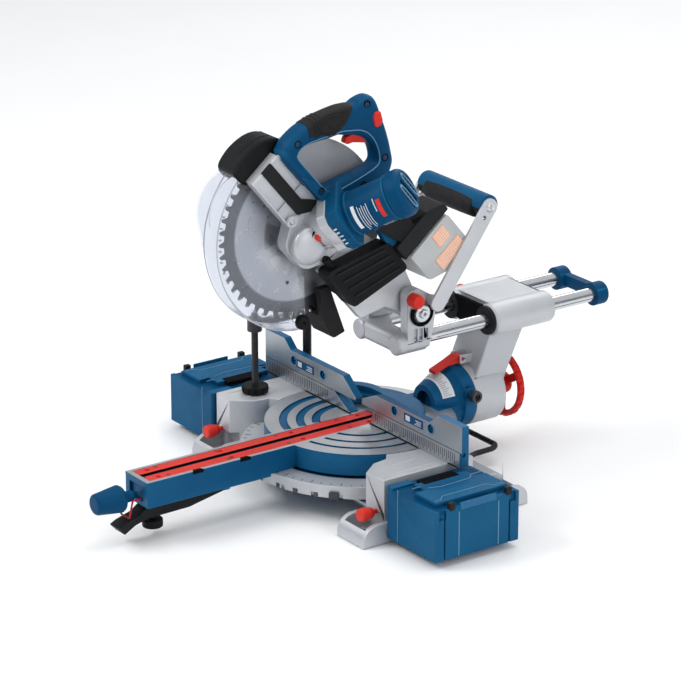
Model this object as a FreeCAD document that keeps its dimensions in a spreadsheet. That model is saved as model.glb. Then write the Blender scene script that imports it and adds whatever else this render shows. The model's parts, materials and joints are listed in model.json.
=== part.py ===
import FreeCAD, Part
import math
import os

import Sketcher
from FreeCAD import Placement, Rotation, Vector

# Sliding compound mitre saw, in millimetres.
# Frame: the origin is on the bench under the mitre pivot, +X right along the fence,
# +Y away from the operator, +Z up. The saw head is drawn in its own frame, lowered,
# with its hinge at the origin, and is then lifted by the chop angle to its rest place.

os.makedirs("parts", exist_ok=True)
doc = FreeCAD.newDocument("mitre_saw")
sheet = doc.addObject("Spreadsheet::Sheet", "dims")

DIMENSIONS = {
    # turntable and base
    "table_top": 90, "table_radius": 137, "plate_depth": 2.5, "disc_bottom": 58,
    "pan_radius": 150, "pan_top": 54, "pan_depth": 14, "scale_width": 21,
    "arm_half_width": 28, "arm_reach": 377, "arm_bottom": 52, "slot_half_width": 22.3,
    "insert_gap": 14, "insert_reach": 368,
    "wing_outer": 206, "foot_inner": 150, "foot_outer": 213, "foot_height": 30,
    "bolt_spacing_half": 172, "bolt_row_half": 116, "bolt_radius": 4.5,
    "support_length": 112, "support_inner": 213.5, "support_rod_radius": 6, "running_gap": 0.05,
    # fences and clamp
    "fence_depth": 16, "fence_gap": 0.6, "low_fence_top": 113, "slide_fence_depth": 12,
    "slide_gap": 0.4, "clamp_place": 175, "clamp_back": 30, "clamp_reach": 92, "clamp_arm_height": 195,
    "clamp_radius": 6.5,
    # bevel joint, carriage and rails
    "bevel_face": 173, "barrel_radius": 47, "barrel_end": 226, "bevel_shaft_radius": 10,
    "wheel_radius": 50, "neck_half_width": 34, "rail_half_spacing": 42.5, "rail_height": 211.5,
    "rail_radius": 10.5, "rail_front": 34, "rail_rear": 392, "housing_radius": 22,
    "housing_front": 193, "housing_rear": 300,
    # head hinge and head
    "hinge_back": 64, "hinge_height": 253, "hinge_pin_radius": 6, "chop_angle": 50,
    "bracket_inner": 38, "bracket_outer": 56,
    "arbor_back": -220.5, "arbor_height": -43, "blade_radius": 127, "blade_thickness": 1.8,
    "drum_radius": 134, "drum_half_width": 12.5, "guard_radius": 141, "guard_half_width": 16,
    "boss_radius": 26, "arbor_radius": 9,
    "motor_tilt": 46,
    "handle_inner": 24, "handle_width": 32,
    # carry handle
    "carry_back": 168, "carry_height": 394, "carry_grip_radius": 17, "carry_grip_half": 72,
}


class Size:
    """A number that remembers the spreadsheet formula it comes from."""

    def __init__(self, number, formula):
        self.number = number
        self.formula = formula

    def __add__(self, other):
        other = as_size(other)
        return Size(self.number + other.number, f"({self.formula} + {other.formula})")

    def __sub__(self, other):
        other = as_size(other)
        return Size(self.number - other.number, f"({self.formula} - {other.formula})")

    def __mul__(self, factor):
        return Size(self.number * factor, f"({self.formula} * {factor})")

    def __neg__(self):
        return self * -1

    def __radd__(self, other):
        return as_size(other) + self

    def __rsub__(self, other):
        return as_size(other) - self

    __rmul__ = __mul__


def as_size(value):
    return value if isinstance(value, Size) else Size(float(value), f"{value}")


def number(value):
    return value.number if isinstance(value, Size) else float(value)


class Dims:
    """Every spreadsheet alias as a Size."""


dims = Dims()
for row, (alias, value) in enumerate(DIMENSIONS.items(), start=1):
    sheet.set(f"A{row}", alias)
    sheet.set(f"B{row}", str(value))
    sheet.setAlias(f"B{row}", alias)
    setattr(dims, alias, Size(float(value), f"dims.{alias}"))
doc.recompute()

nodes = []          # finished sub-parts, in the order of their files
X_AXIS, Y_AXIS, Z_AXIS = Vector(1, 0, 0), Vector(0, 1, 0), Vector(0, 0, 1)
TURNS = {"x": Rotation(Y_AXIS, 90), "y": Rotation(X_AXIS, -90), "z": Rotation(),
         "-x": Rotation(Y_AXIS, -90), "-y": Rotation(X_AXIS, 90), "-z": Rotation(X_AXIS, 180)}


# ---------------------------------------------------------------- building blocks

def bind(obj, prop, value):
    """Give a property its number, and its formula when it has one."""
    if isinstance(value, Size):
        obj.setExpression(prop, value.formula)
    else:
        setattr(obj, prop, value)


def place(obj, at, turn=None):
    """Place an object at a point whose coordinates may come from the sheet."""
    obj.Placement = Placement(Vector(*[number(c) for c in at]), turn or Rotation())
    for axis, coordinate in zip("xyz", at):
        if isinstance(coordinate, Size):
            obj.setExpression(f"Placement.Base.{axis}", coordinate.formula)
    return obj


def box(name, low, high):
    """A box between two corners."""
    obj = doc.addObject("Part::Box", name)
    for prop, a, b in zip(("Length", "Width", "Height"), low, high):
        span = as_size(b) - as_size(a)
        bind(obj, prop, span if isinstance(a, Size) or isinstance(b, Size) else span.number)
    return place(obj, low)


def rod(name, start, axis, length, radius):
    """A cylinder from a point along an axis."""
    obj = doc.addObject("Part::Cylinder", name)
    bind(obj, "Radius", radius)
    bind(obj, "Height", length)
    return place(obj, start, TURNS[axis] if isinstance(axis, str) else axis)


def ball(name, centre, radius):
    obj = doc.addObject("Part::Sphere", name)
    bind(obj, "Radius", radius)
    return place(obj, centre)


def fuse(name, *shapes):
    obj = doc.addObject("Part::MultiFuse", name)
    obj.Shapes = list(shapes)
    obj.Refine = True
    return obj


def common(name, first, second):
    obj = doc.addObject("Part::MultiCommon", name)
    obj.Shapes = [first, second]
    return obj


def cut(name, base, *tools):
    obj = doc.addObject("Part::Cut", name)
    obj.Base = base
    obj.Tool = tools[0] if len(tools) == 1 else fuse(name + "_tools", *tools)
    obj.Refine = True
    return obj


def group(name, *shapes):
    """Several solids, or one that needs a placement of its own, as one object."""
    obj = doc.addObject("Part::Compound", name)
    obj.Links = list(shapes)
    return obj


def rounded(name, base, radius, *tests):
    """Fillet the straight or round edges that pass a test of their centre and direction."""
    doc.recompute()
    edges = []
    for index, edge in enumerate(base.Shape.Edges, start=1):
        middle = edge.BoundBox.Center
        span = Vector(edge.BoundBox.XLength, edge.BoundBox.YLength, edge.BoundBox.ZLength)
        if any(test(middle, span) for test in tests):
            edges.append((index, radius, radius))
    obj = doc.addObject("Part::Fillet", name)
    obj.Base = base
    obj.Edges = edges
    return obj


def corner_arc(before, corner, after, radius):
    """The two tangent points and the middle of the arc that rounds a corner."""
    to_before = (before - corner).normalize()
    to_after = (after - corner).normalize()
    half = to_before.getAngle(to_after) / 2
    inward = (to_before + to_after).normalize()
    reach = radius / math.tan(half)
    middle = corner + inward * (radius / math.sin(half) - radius)
    return corner + to_before * reach, middle, corner + to_after * reach


def draw_outline(sketch, points):
    """Draw a closed outline; a point's third value rounds that corner, and Sizes are bound."""
    corners = [Vector(number(p[0]), number(p[1]), 0) for p in points]
    pieces = []
    for index, point in enumerate(points):
        corner = corners[index]
        if len(point) == 3:
            start, middle, end = corner_arc(corners[index - 1], corner,
                                            corners[(index + 1) % len(points)], point[2])
            pieces.append((start, end, middle))
        else:
            pieces.append((corner, corner, None))
    lines = {}
    for index, (_, start, _) in enumerate(pieces):
        end = pieces[(index + 1) % len(pieces)][0]
        if (end - start).Length > 1e-6:
            lines[index] = sketch.addGeometry(Part.LineSegment(start, end), False)
    for index, (start, end, middle) in enumerate(pieces):
        if middle:
            sketch.addGeometry(Part.Arc(start, middle, end), False)
        before, after = lines.get((index - 1) % len(pieces)), lines.get(index)
        if middle or before is None or after is None:
            continue
        sketch.addConstraint(Sketcher.Constraint("Coincident", before, 2, after, 1))
        for kind, value in zip(("DistanceX", "DistanceY"), points[index]):
            if isinstance(value, Size) and abs(value.number) > 1e-6:
                place_corner(sketch, kind, after, value)


def place_corner(sketch, kind, line, value):
    """Hold a corner's distance from the sketch origin at the sheet's value."""
    if value.number > 0:
        made = sketch.addConstraint(Sketcher.Constraint(kind, -1, 1, line, 1, value.number))
        sketch.setExpression(f"Constraints[{made}]", value.formula)
    else:
        made = sketch.addConstraint(Sketcher.Constraint(kind, line, 1, -1, 1, -value.number))
        sketch.setExpression(f"Constraints[{made}]", (-value).formula)


def new_sketch(body, plane, name):
    sketch = body.newObject("Sketcher::SketchObject", name)
    origin = next(f for f in body.Origin.OriginFeatures if f.Role == plane + "_Plane")
    sketch.AttachmentSupport = [(origin, "")]
    sketch.MapMode = "FlatFace"
    return sketch


def prism(name, plane, points, start, depth, holes=()):
    """An outline drawn on XY, XZ or YZ and padded along the third axis from start."""
    body = doc.addObject("PartDesign::Body", name)
    sketch = new_sketch(body, plane, name + "_outline")
    draw_outline(sketch, points)
    for across, up, radius in holes:
        made = sketch.addGeometry(Part.Circle(Vector(across, up, 0), Z_AXIS, number(radius)), False)
        if isinstance(radius, Size):
            index = sketch.addConstraint(Sketcher.Constraint("Radius", made, radius.number))
            sketch.setExpression(f"Constraints[{index}]", radius.formula)
    pad = body.newObject("PartDesign::Pad", name + "_pad")
    pad.Profile = sketch
    bind(pad, "Length", depth)
    pad.Reversed = plane == "XZ"
    offset = {"XY": (0, 0, start), "XZ": (0, start, 0), "YZ": (start, 0, 0)}[plane]
    return place(body, offset)


def turned(name, profile, at, axis):
    """A closed profile of (radius, distance) points turned about an axis through a point."""
    body = doc.addObject("PartDesign::Body", name)
    sketch = new_sketch(body, "XZ", name + "_profile")
    draw_outline(sketch, profile)
    spin = body.newObject("PartDesign::Revolution", name + "_turn")
    spin.Profile = sketch
    spin.ReferenceAxis = (sketch, ["V_Axis"])
    spin.Angle = 360
    return place(body, at, TURNS[axis] if isinstance(axis, str) else axis)


def bent_rod(name, points, bend, radius):
    """A round bar through straight runs joined by tangent arcs."""
    corners = [Vector(*[number(c) for c in p]) for p in points]
    edges, start = [], corners[0]
    for before, corner, after in zip(corners, corners[1:], corners[2:]):
        begin, middle, end = corner_arc(before, corner, after, bend)
        edges += [Part.LineSegment(start, begin).toShape(), Part.Arc(begin, middle, end).toShape()]
        start = end
    edges.append(Part.LineSegment(start, corners[-1]).toShape())
    path = Part.Wire(edges)
    section = Part.Wire(Part.Circle(corners[0], corners[1] - corners[0], number(radius)).toShape())
    obj = doc.addObject("Part::Feature", name)
    obj.Shape = path.makePipeShell([section], True, False)
    return obj


def finish(obj, label):
    """Register a finished sub-part under its node name."""
    obj.Label = label
    nodes.append(obj)
    return obj


def finish_on_head(obj, label):
    """Lift a sub-part of the head from its lowered frame to the rest place."""
    place(obj, (0, dims.hinge_back, dims.hinge_height), Rotation(X_AXIS, -dims.chop_angle.number))
    obj.setExpression("Placement.Rotation.Angle", dims.chop_angle.formula)
    obj.setExpression("Placement.Rotation.Axis.x", "-1")
    return finish(obj, label)


SIDES = (("left", -1), ("right", 1))


def mirrored(side, points):
    """Mirror an outline in the plane X = 0 for the left side."""
    return [(p[0] * side, *p[1:]) for p in points]


def span_x(side, near, far):
    """The low and high X of a stretch that lies between near and far on one side."""
    return (near, far) if side > 0 else (-far, -near)


# ---------------------------------------------------------------- base

def base_pan():
    plate = rod("pan_plate", (0, 0, dims.pan_top - dims.pan_depth), "z", dims.pan_depth, dims.pan_radius)
    boss = rod("pan_boss", (0, 0, 34), "z", 12, 34)
    bore = rod("pan_bore", (0, 0, 30), "z", 30, 20 + dims.running_gap)
    lightening = [rod(f"pan_hole_{n}", (95 * math.cos(math.radians(a)), 95 * math.sin(math.radians(a)), 30),
                      "z", 30, 22) for n, a in enumerate((20, 90, 160))]
    finish(cut("base_pan", fuse("pan_body", plate, boss), bore, *lightening), "base_pan")


def wing(label, side):
    """Side block of the base with its front and rear bolt-down feet."""
    outline = mirrored(side, [(dims.wing_outer, -109), (168, -112), (147, -84), (143, -60), (118, -40),
                              (118, 44), (dims.wing_outer, 44)])
    block = prism(f"wing_block_{label}", "XY", outline, 8, dims.table_top - 8)
    x_low, x_high = span_x(side, dims.foot_inner, dims.foot_outer)
    front = prism(f"front_foot_{label}", "YZ",
                  [(-148, 0), (-148, dims.foot_height, 24), (-92, dims.foot_height), (-92, 0)],
                  x_low, x_high - x_low)
    rear = prism(f"rear_foot_{label}", "YZ",
                 [(40, 0), (40, dims.foot_height), (136, dims.foot_height, 20), (136, 0)],
                 x_low, x_high - x_low)
    low_x, high_x = span_x(side, 158, 205)
    trays = [box(f"foot_tray_{label}_{n}", (low_x, y, 8), (high_x, y + 40, 40))
             for n, y in enumerate((-140, 94))]
    holes = [rod(f"foot_hole_{label}_{n}", (dims.bolt_spacing_half * side, dims.bolt_row_half * row, -5),
                 "z", 20, dims.bolt_radius) for n, row in enumerate((-1, 1))]
    table_space = rod(f"wing_table_space_{label}", (0, 0, dims.disc_bottom - 0.5), "z", 60,
                      dims.table_radius + 1.5)
    pan_space = rod(f"wing_pan_space_{label}", (0, 0, 0), "z", dims.disc_bottom - 0.5, dims.pan_radius)
    bores = [rod(f"rod_bore_{label}_{n}", (100 * side, y, 22), "x" if side > 0 else "-x", 120,
                 dims.support_rod_radius + dims.running_gap) for n, y in enumerate((-80, 0))]
    bores.append(rod(f"lock_bore_{label}", (190 * side, -120, 40), "y", 20, 3 + dims.running_gap))
    socket = rod(f"clamp_socket_{label}", (dims.clamp_place * side, dims.clamp_back, 45), "z", 60,
                 dims.clamp_radius + dims.running_gap)
    low_x, high_x = span_x(side, 54, 156)
    lug = box(f"rear_lug_{label}", (low_x, 116, 8), (high_x, 136, 24))
    solid = fuse(f"wing_solid_{label}", block, front, rear, lug)
    finish(cut(f"wing_{label}", solid, *trays, *holes, table_space, pan_space, *bores, socket),
           f"base_wing_{label}")


def mitre_scale():
    """Front scale ring with its detent notches, between the two side blocks."""
    outer = rod("scale_outer", (0, 0, 37), "z", 18.3, dims.pan_radius + dims.scale_width)
    inner = rod("scale_inner", (0, 0, 30), "z", 40, dims.pan_radius + 0.1)
    rear = box("scale_rear", (-200, -62, 30), (200, 200, 70))
    sides = [prism(f"scale_side_{label}", "XY",
                   mirrored(side, [(146.8, -84.1), (142.8, -60), (200, -60), (200, -112.4),
                                    (167.8, -112.4)]),
                   30, 40) for label, side in SIDES]
    notches = []
    for n, angle in enumerate((-45, -31.6, -22.5, -15, 0, 15, 22.5, 31.6, 45)):
        notch = box(f"scale_notch_{n}", (-3, -180, 30), (3, -166, 43))
        turn = Rotation(Z_AXIS, angle)
        notch.Placement = Placement(Vector(), turn).multiply(notch.Placement)
        notches.append(notch)
    finish(cut("mitre_scale", outer, inner, rear, *sides, *notches), "mitre_scale")


def rear_bracket():
    """Wire bracket behind the base that keeps the saw from tipping back."""
    route = [(-62, 137, 16), (-62, 160, 20), (-76, 192, 28), (76, 192, 28), (62, 160, 20), (62, 137, 16)]
    bar = bent_rod("rear_wire", route, 9, 4)
    finish(bar, "rear_wire_bracket")


# ---------------------------------------------------------------- side supports

def side_support(label, side):
    """Pull-out work support with a stepped top, sliding on two rods."""
    near, far = dims.support_inner, dims.support_inner + dims.support_length
    low, high = span_x(side, near, far)
    body = box(f"support_body_{label}", (low, -111, 10), (high, 31, dims.table_top - 7))
    top = prism(f"support_top_{label}", "XY",
                mirrored(side, [(near + 26, -84), (near + 26, 4), (near + 50, 4), (near + 50, 22),
                                (far - 14, 22), (far - 14, -100), (near + 50, -100), (near + 50, -84)]),
                dims.table_top - 8, 8)
    corner = prism(f"support_corner_{label}", "XY",
                   mirrored(side, [(near, -111), (near, -74), (near + 14, -74), (near + 14, -111)]),
                   dims.table_top - 8, 4)
    low_cut, high_cut = span_x(side, far - 3, far + 5)
    grooves = [box(f"support_groove_{label}_{n}", (low_cut, y, 0), (high_cut, y + 2, 100))
               for n, y in enumerate((-96, 14))]
    notches = [box(f"support_notch_{label}_{n}", (low_cut, y, 70), (high_cut, y + 11, 100))
               for n, y in enumerate((-104, 14))]
    solid = cut(f"support_cut_{label}", fuse(f"support_solid_{label}", body, top, corner),
                *grooves, *notches)
    finish(rounded(f"support_{label}", solid, 5,
                   lambda m, s: s.z > 30 and s.x < 1 and s.y < 1
                   and abs(abs(m.x) - near.number) < 1), f"support_{label}")
    rods = [rod(f"support_rod_{label}_{n}", (near * side, y, 22), "-x" if side > 0 else "x", 150,
                dims.support_rod_radius) for n, y in enumerate((-80, 0))]
    finish(group(f"support_rods_{label}", *rods), f"support_rods_{label}")


def support_lock(label, side):
    """Red knob that locks a side support's rods."""
    stem = rod(f"lock_stem_{label}", (190 * side, -101, 40), "-y", 18, 3)
    knob = ball(f"lock_ball_{label}", (190 * side, -122, 40), 8)
    finish(fuse(f"support_lock_{label}", stem, knob), f"support_lock_{label}")


# ---------------------------------------------------------------- fences and clamp

def fixed_fence():
    """Low fixed fence on both sides, joined by a bow behind the blade."""
    low, top = dims.table_top, dims.low_fence_top
    floating = dims.table_top + dims.fence_gap
    left = prism("low_fence_left", "XZ",
                 [(-239, floating), (-dims.wing_outer, floating), (-dims.wing_outer, low), (-146, low),
                  (-146, floating), (-26, floating), (-66, top), (-239, top)], 0, dims.fence_depth)
    right = prism("low_fence_right", "XZ",
                  [(24, floating), (146, floating), (146, low), (dims.wing_outer, low),
                   (dims.wing_outer, floating), (232, floating), (232, top), (30, top)], 0, dims.fence_depth)
    outer = prism("bow_outer", "XY", [(-92, 10), (98, 10), (98, 62, 50), (-92, 62, 50)], floating,
                  top - floating)
    inner = prism("bow_inner", "XY", [(-79, 0), (85, 0), (85, 49, 42), (-79, 49, 42)], 85, 40)
    bow = cut("bow", outer, inner)
    flanges = [prism(f"fence_flange_{label}", "XY",
                     mirrored(side, [(148, 12), (dims.wing_outer, 12), (dims.wing_outer, 40), (148, 40)]),
                     low, 7, [(175 * side, 30, 11)]) for label, side in SIDES]
    grooves = [box("groove_left", (-250, 5, 106), (-60, 9.6, 120)),
               box("groove_right", (32, 5, 106), (250, 9.6, 120))]
    finish(cut("fixed_fence", fuse("fence_body", left, right, bow, *flanges), *grooves), "fixed_fence")
    bolts = [turned(f"fence_bolt_{n}", [(0, 0), (6, 0), (6, 5), (3, 5), (3, 2.5), (0, 2.5)],
                    (x, 28, low + 7), "z") for n, x in enumerate((-197, -156, 156, 197))]
    finish(group("fence_bolts", *bolts), "fence_bolts")


def sliding_fence(label, outline, tongue, screw_places):
    """Tall fence half that slides outwards on the low fence."""
    bottom = dims.low_fence_top + dims.slide_gap
    plate = prism(f"tall_fence_{label}", "XZ", [(x, bottom if z is None else z) for x, z in outline],
                  0, dims.slide_fence_depth)
    rail = box(f"fence_tongue_{label}", (tongue[0], 5.4, 106.4), (tongue[1], 9.2, 116))
    pockets = [box(f"fence_pocket_{label}_{n}", (x - 6, -1, 122), (x + 6, 5, 134))
               for n, x in enumerate(screw_places)]
    solid = fuse(f"fence_solid_{label}", plate, rail)
    finish(cut(f"sliding_fence_{label}", solid, *pockets), f"sliding_fence_{label}")


def sliding_fences():
    sliding_fence("left", [(-239, None), (-14, None), (-11, 117), (-43, 142), (-174, 142), (-190, 156),
                           (-239, 156)], (-238, -70), (-166, -93))
    sliding_fence("right", [(3, None), (237, None), (237, 152), (181, 152), (163, 137), (37, 137),
                            (3, 122)], (40, 230), (81, 166))


def clamp():
    """Vertical hold-down: post, arm and collar, with a screwed spindle and pad."""
    x, back, high = -dims.clamp_place, dims.clamp_back, dims.clamp_arm_height
    front = back - dims.clamp_reach
    bar = bent_rod("clamp_bar", [(x, back, 46), (x, back, high), (x, front, high)], 14, dims.clamp_radius)
    collar = rod("clamp_collar_body", (x, front, high - 10), "z", 20, 11)
    bore = rod("clamp_bore", (x, front, high - 30), "z", 60, 5 + dims.running_gap)
    finish(cut("clamp_arm", fuse("clamp_frame", bar, collar), bore), "clamp_arm")
    finish(turned("clamp_spindle", [(0, 0), (5, 0), (5, 112, 1), (0, 112)], (x, front, 100), "z"),
           "clamp_spindle")
    pad = turned("clamp_disc", [(0, 0), (19, 0, 1), (20, 5), (19, 10, 2), (0, 10)],
                 (x, front, dims.table_top + 0.4), "z")
    spindle_seat = rod("clamp_seat", (x, front, 100), "z", 5, 5)
    grips = [rod(f"clamp_flute_{n}", (x + 21.5 * math.cos(n * math.pi / 6),
                                      front + 21.5 * math.sin(n * math.pi / 6), 88), "z", 14, 3)
             for n in range(12)]
    finish(cut("clamp_pad", pad, spindle_seat, *grips), "clamp_pad")


# ---------------------------------------------------------------- turntable

def turntable_casting():
    under_plate = dims.table_top - dims.plate_depth
    half = dims.arm_half_width
    disc = rod("table_disc", (0, 0, dims.disc_bottom), "z", under_plate - dims.disc_bottom,
               dims.table_radius)
    arm = box("table_arm", (-half, -dims.arm_reach, dims.arm_bottom), (half, -110, under_plate))
    hub = rod("table_hub", (0, 0, 36), "z", 30, 20)
    yoke = box("table_yoke", (-39.7, 108.3, dims.disc_bottom), (39.7, 150, dims.table_top))
    cone = turned("bevel_cone", [(0, 0), (26, 0), (44, 38), (47, 41), (47, 60.7), (0, 60.7)],
                  (0, dims.bevel_face - 61, dims.table_top), "y")
    bolt_boss = turned("bolt_boss", [(0, 0), (9, 0), (9, 10), (6.5, 10), (6.5, 20, 1), (3, 20), (3, 16),
                                     (0, 16)],
                       (36, 161, 106), "x")
    shaft = rod("bevel_shaft", (0, 140, dims.table_top), "y", 125, dims.bevel_shaft_radius)
    lever_pin = rod("lever_pin", (-15.5, -238, 47), "x", 31, 2)
    lever_lugs = []
    for label, side in SIDES:
        low, high = span_x(side, 12.6, 15.6)
        lever_lugs.append(box(f"lever_lug_{label}", (low, -242.5, 43.5), (high, -233.5, 53)))
    solid = fuse("table_solid", disc, arm, hub, yoke, cone, bolt_boss, shaft, lever_pin, *lever_lugs)
    scale_space = box("scale_space", (-60, -173, 40), (60, -100, 55.8))
    below_cone = box("below_cone", (-60, 120, 30), (60, 152, dims.disc_bottom - 0.2))
    cone_mouth = rod("cone_mouth", (0, 108, dims.table_top), "y", 16, 17)
    seat = box("insert_seat", (-dims.slot_half_width, -dims.insert_reach - 1, 86.2),
               (dims.slot_half_width, 28, 99))
    trough = box("dust_trough", (-10, -362, 70), (10, 22, 99))
    relief = cut("disc_relief", rod("relief_outer", (0, 0, 50), "z", 16, 126),
                 rod("relief_inner", (0, 0, 50), "z", 16, 42),
                 box("relief_arm", (-30, -140, 40), (30, 140, 80)))
    end_recess = box("end_recess", (-17, -380, 60), (17, -373, 80))
    finish(cut("turntable_casting", solid, scale_space, below_cone, cone_mouth, seat, trough, relief,
               end_recess), "turntable_casting")
    washer = turned("pivot_washer_body", [(8, 0), (28, 0), (28, 3.6), (8, 3.6)], (0, 0, 30), "z")
    bolt = turned("pivot_bolt", [(0, -6), (11, -6), (11, 0), (8, 0), (8, 6), (0, 6)], (0, 0, 30), "z")
    finish(fuse("pivot_washer", washer, bolt), "pivot_washer")


def arc_groove(name, radius, width, from_angle, to_angle):
    """A curved slot through the table plate, between two angles about the pivot."""
    low = dims.table_top - dims.plate_depth - 1
    ring = cut(f"{name}_ring", rod(f"{name}_out", (0, 0, low), "z", 8, radius + width / 2),
               rod(f"{name}_in", (0, 0, low), "z", 8, radius - width / 2))
    reach = 200
    wedge = [(0, 0)] + [(reach * math.cos(math.radians(a)), reach * math.sin(math.radians(a)))
                        for a in (from_angle, (from_angle + to_angle) / 2, to_angle)]
    return common(name, ring, prism(f"{name}_wedge", "XY", wedge, low, 8))


def table_plate():
    """Machined top of the turntable and of its arm, with curved grooves."""
    low = dims.table_top - dims.plate_depth
    disc = rod("plate_disc", (0, 0, low), "z", dims.plate_depth, dims.table_radius)
    arm = box("plate_arm", (-dims.arm_half_width, -dims.arm_reach, low),
              (dims.arm_half_width, 0, dims.table_top))
    slot = box("plate_slot", (-dims.slot_half_width, -dims.insert_reach - 1, 80),
               (dims.slot_half_width, 28, 99))
    notch = box("plate_notch", (-40, 108, 80), (40, 150, 99))
    grooves = []
    for n, (radius, width, start) in enumerate(((63.5, 12, 247), (86.2, 11.6, 253), (110.2, 11.6, 256))):
        grooves.append(arc_groove(f"groove_left_{n}", radius, width, 180.6, start))
    for n, (radius, width, start) in enumerate(((63.8, 6.4, -66), (88.5, 6, -70), (112, 6, -75))):
        grooves.append(arc_groove(f"groove_right_{n}", radius, width, start, -0.6))
    finish(cut("table_plate", fuse("plate_solid", disc, arm), slot, notch, *grooves), "table_plate")


def kerf_inserts():
    """Two red strips beside the blade slot, each held by small screws."""
    strips = []
    inner = dims.insert_gap * 0.5
    outer = dims.slot_half_width - 0.3
    for label, side in SIDES:
        low, high = span_x(side, inner, outer)
        strip = box(f"insert_{label}", (low, -dims.insert_reach, 86.2), (high, 27, dims.table_top - 0.3))
        sinks = [rod(f"insert_sink_{label}_{n}", (14.5 * side, y, 88), "z", 5, 3.2)
                 for n, y in enumerate((-350, -230, -110, 5))]
        strips.append(cut(f"insert_cut_{label}", strip, *sinks))
    finish(group("kerf_inserts", *strips), "kerf_inserts")


def arm_fittings():
    """Foot under the arm and the wire clip at its end."""
    finish(turned("arm_foot", [(0, 0), (14.5, 0, 2), (14.5, 12, 2), (5, 12), (5, 40), (0, 40)],
                  (0, -352, 12), "z"), "arm_foot")
    clip = [(-11, -377, 62), (-11, -390, 62), (-11, -396, 37),
            (11, -396, 37), (11, -390, 62), (11, -377, 62)]
    finish(bent_rod("detent_clip", clip, 2.5, 1.3), "detent_clip")


def mitre_knob():
    """Tapered knob that locks the mitre angle."""
    profile = [(0, 0), (5, 0), (5, 8), (8, 8), (8, 22), (17, 24, 2), (19.5, 28, 3), (14.5, 68, 5), (0, 68)]
    finish(turned("mitre_knob", profile, (0, -377.4, 65), "-y"), "mitre_knob")


def detent_lever():
    """Black lever under the arm that releases the mitre detent."""
    side_view = [(-414, 26), (-404, 15), (-386, 25, 12), (-366, 30, 20), (-300, 31), (-232, 44),
                 (-232, 51), (-362, 51), (-380, 38, 14), (-404, 31)]
    plate = prism("lever_plate", "YZ", side_view, -12, 24)
    slot = rod("lever_slot", (0, -352, 0), "z", 80, 7.5)
    pin_bore = rod("lever_pin_bore", (-20, -238, 47), "x", 40, 2 + dims.running_gap)
    finish(cut("detent_lever", plate, slot, pin_bore), "detent_lever")


# ---------------------------------------------------------------- bevel arm

def swan_neck():
    """Bevel barrel, leaning neck and twin-bore carriage housing in one casting."""
    spread, high = dims.rail_half_spacing, dims.rail_height
    length = dims.housing_rear - dims.housing_front
    barrel = rod("neck_barrel", (0, dims.bevel_face, dims.table_top), "y",
                 dims.barrel_end - dims.bevel_face, dims.barrel_radius)
    neck = prism("neck_web", "YZ",
                 [(dims.bevel_face + 3, 92), (dims.bevel_face + 3, 118), (211, 200), (211, 220),
                  (276, 220), (276, 205, 10), (237, 124, 16), (226, 92)],
                 -dims.neck_half_width, dims.neck_half_width * 2)
    tubes = [rod(f"housing_{label}", (spread * side, dims.housing_front, high), "y", length,
                 dims.housing_radius) for label, side in SIDES]
    web = box("housing_web", (-spread, 199, high + 14), (spread, 292, high + dims.housing_radius))
    ears = [box(f"lever_ear_{n}", (x, 168, 140), (x + 4, 200, 153)) for n, x in enumerate((-12, 8))]
    bores = [rod(f"housing_bore_{label}", (spread * side, 150, high), "y", 200,
                 dims.rail_radius + dims.running_gap) for label, side in SIDES]
    shaft_bore = rod("shaft_bore", (0, 150, dims.table_top), "y", 100,
                     dims.bevel_shaft_radius + dims.running_gap)
    ear_bore = rod("ear_bore", (-20, 173, 146.5), "x", 40, 2 + dims.running_gap)
    knob_bore = rod("slide_lock_bore", (-70, 236, 214), "x", 13, 4 + dims.running_gap)
    solid = rounded("neck_rounded", fuse("neck_solid", barrel, neck, *tubes, web), 3,
                    lambda m, s: abs(abs(m.x) - dims.neck_half_width.number) < 0.1 and 125 < m.z < 195
                    and s.z > 40)
    finish(cut("swan_neck", fuse("neck_with_ears", solid, *ears), *bores, shaft_bore, ear_bore, knob_bore),
           "swan_neck")


def bearing_covers():
    """Black rings round the rails and the cover plate between them."""
    spread, high = dims.rail_half_spacing, dims.rail_height
    rings = []
    for label, side in SIDES:
        ring = rod(f"cover_ring_{label}", (spread * side, dims.housing_front - 5, high), "y", 5, 21)
        hole = rod(f"cover_hole_{label}", (spread * side, 150, high), "y", 100, dims.rail_radius + 0.4)
        rings.append(cut(f"bearing_cover_{label}", ring, hole))
    plate = prism("cover_plate", "XZ", [(-20, 200), (20, 200), (20, 225), (-20, 225)], 204, 5)
    finish(group("bearing_covers", *rings, plate), "bearing_covers")


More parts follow.
